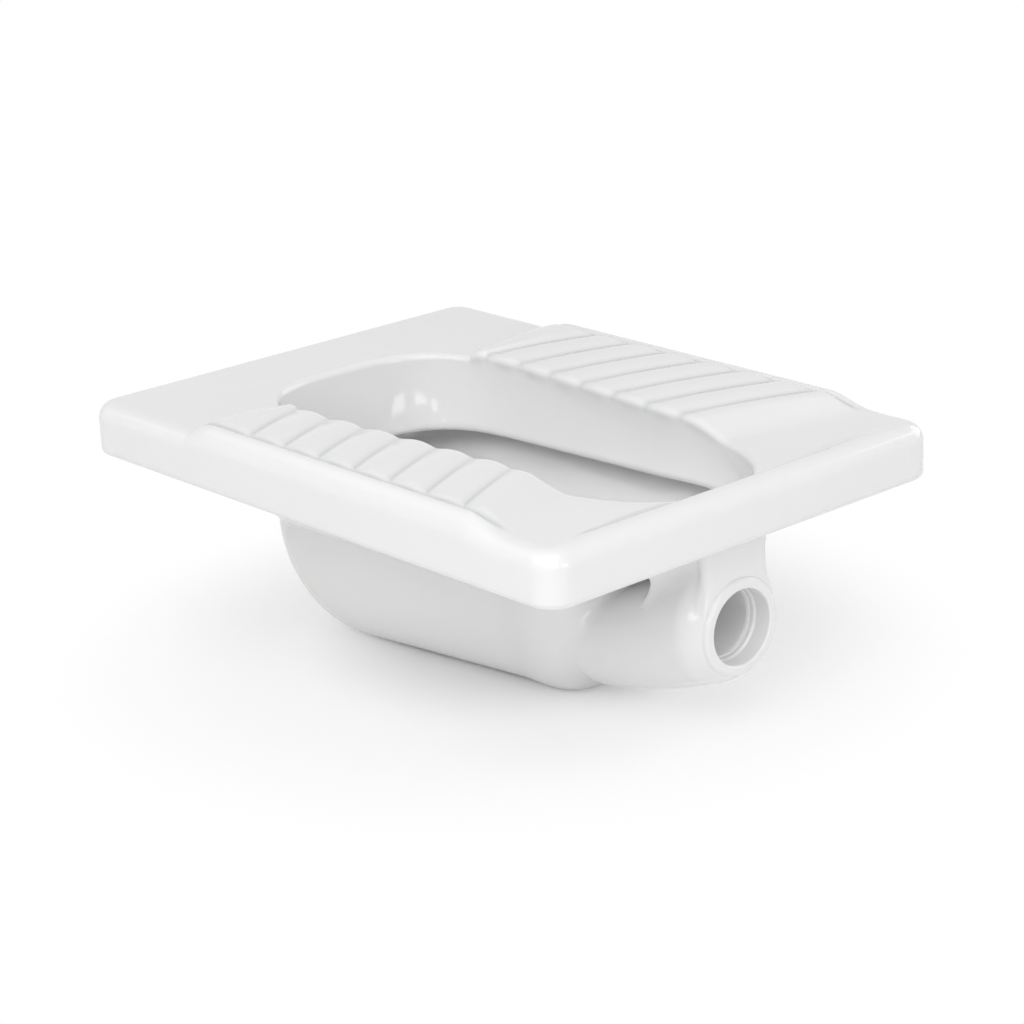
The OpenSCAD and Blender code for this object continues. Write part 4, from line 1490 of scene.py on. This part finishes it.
class PAN_OT_stage(BuildOperator):
    """Sets the floor, the light and the camera"""

    bl_idname = "pan.stage"
    bl_label = "Stage"

    def execute(self, context):
        look = context.scene.stage_look
        n, turns = FLOOR_SIDES, full_turn(FLOOR_SIDES)
        rings = [ring_at(r * np.cos(turns), r * np.sin(turns), 0.0) for r in FLOOR_RINGS]
        faces = [[0, 1 + k, 1 + (k + 1) % n] for k in range(n)]
        faces += (grid_faces(len(rings), n, close_columns=True)[:, ::-1] + 1).tolist()
        floor = new_piece("studio_floor", np.concatenate([np.zeros((1, 3)), *rings]), faces)
        floor.data.materials.append(floor_material())
        world = bpy.data.worlds.new("Studio")
        world.use_nodes = True
        context.scene.world = world
        nodes = Nodes(world.node_tree)
        world.node_tree.nodes.clear()
        soft, plain = (nodes.add("ShaderNodeBackground", {},
                                 {"Color": WHITE, "Strength": strength})
                       for strength in (look.sky, 1.0))
        out = world.node_tree.nodes.new("ShaderNodeOutputWorld")
        nodes.feed(out.inputs["Surface"], nodes.add("ShaderNodeMixShader", {},
                                                    [seen_rays(nodes), soft, plain]))
        for name, (*place, power) in LAMPS.items():
            softbox(name, *place, power * look.softbox)
        camera = bpy.data.cameras.new("Camera")
        camera.lens, camera.sensor_width, camera.sensor_fit = LENS, SENSOR, "HORIZONTAL"
        camera.clip_start, camera.clip_end = 0.05, 60.0
        context.scene.camera = stand(camera, CAMERA_AT, CAMERA_BACK, CAMERA_RIGHT)
        context.scene.view_settings.view_transform = "Standard"
        return {"FINISHED"}


OPERATORS = (PAN_OT_deck, PAN_OT_rim, PAN_OT_footrests, PAN_OT_bowl, PAN_OT_trap,
             PAN_OT_outlet, PAN_OT_support, PAN_OT_inlet, PAN_OT_stage)


class VIEW3D_PT_squat_pan(bpy.types.Panel):
    """Sizes, looks and building steps of the pan"""

    bl_label = "Squat pan"
    bl_idname = "VIEW3D_PT_squat_pan"
    bl_space_type = "VIEW_3D"
    bl_region_type = "UI"
    bl_category = "Squat pan"

    def draw(self, context):
        for title, group in (("Pan", context.scene.pan_sizes),
                             ("Footrests", context.scene.footrest_sizes),
                             ("Glaze", context.scene.glaze_look),
                             ("Stage", context.scene.stage_look)):
            box = self.layout.box()
            box.label(text=title)
            for name in group.bl_rna.properties.keys():
                if name not in ("rna_type", "name"):
                    box.prop(group, name)
        for operator in OPERATORS:
            self.layout.operator(operator.bl_idname)


GROUPS = {"pan_sizes": PanSizes, "footrest_sizes": FootrestSizes, "glaze_look": GlazeLook,
          "stage_look": StageLook}


def register():
    for group in GROUPS.values():
        bpy.utils.register_class(group)
    for operator in OPERATORS:
        bpy.utils.register_class(operator)
    bpy.utils.register_class(VIEW3D_PT_squat_pan)
    for name, group in GROUPS.items():
        setattr(bpy.types.Scene, name, PointerProperty(type=group))


def unregister():
    for name in GROUPS:
        delattr(bpy.types.Scene, name)
    bpy.utils.unregister_class(VIEW3D_PT_squat_pan)
    for operator in reversed(OPERATORS):
        bpy.utils.unregister_class(operator)
    for group in reversed(list(GROUPS.values())):
        bpy.utils.unregister_class(group)


def main():
    register()
    for operator in OPERATORS:
        area, _, action = operator.bl_idname.partition(".")
        getattr(getattr(bpy.ops, area), action)()


if __name__ == "__main__":
    main()
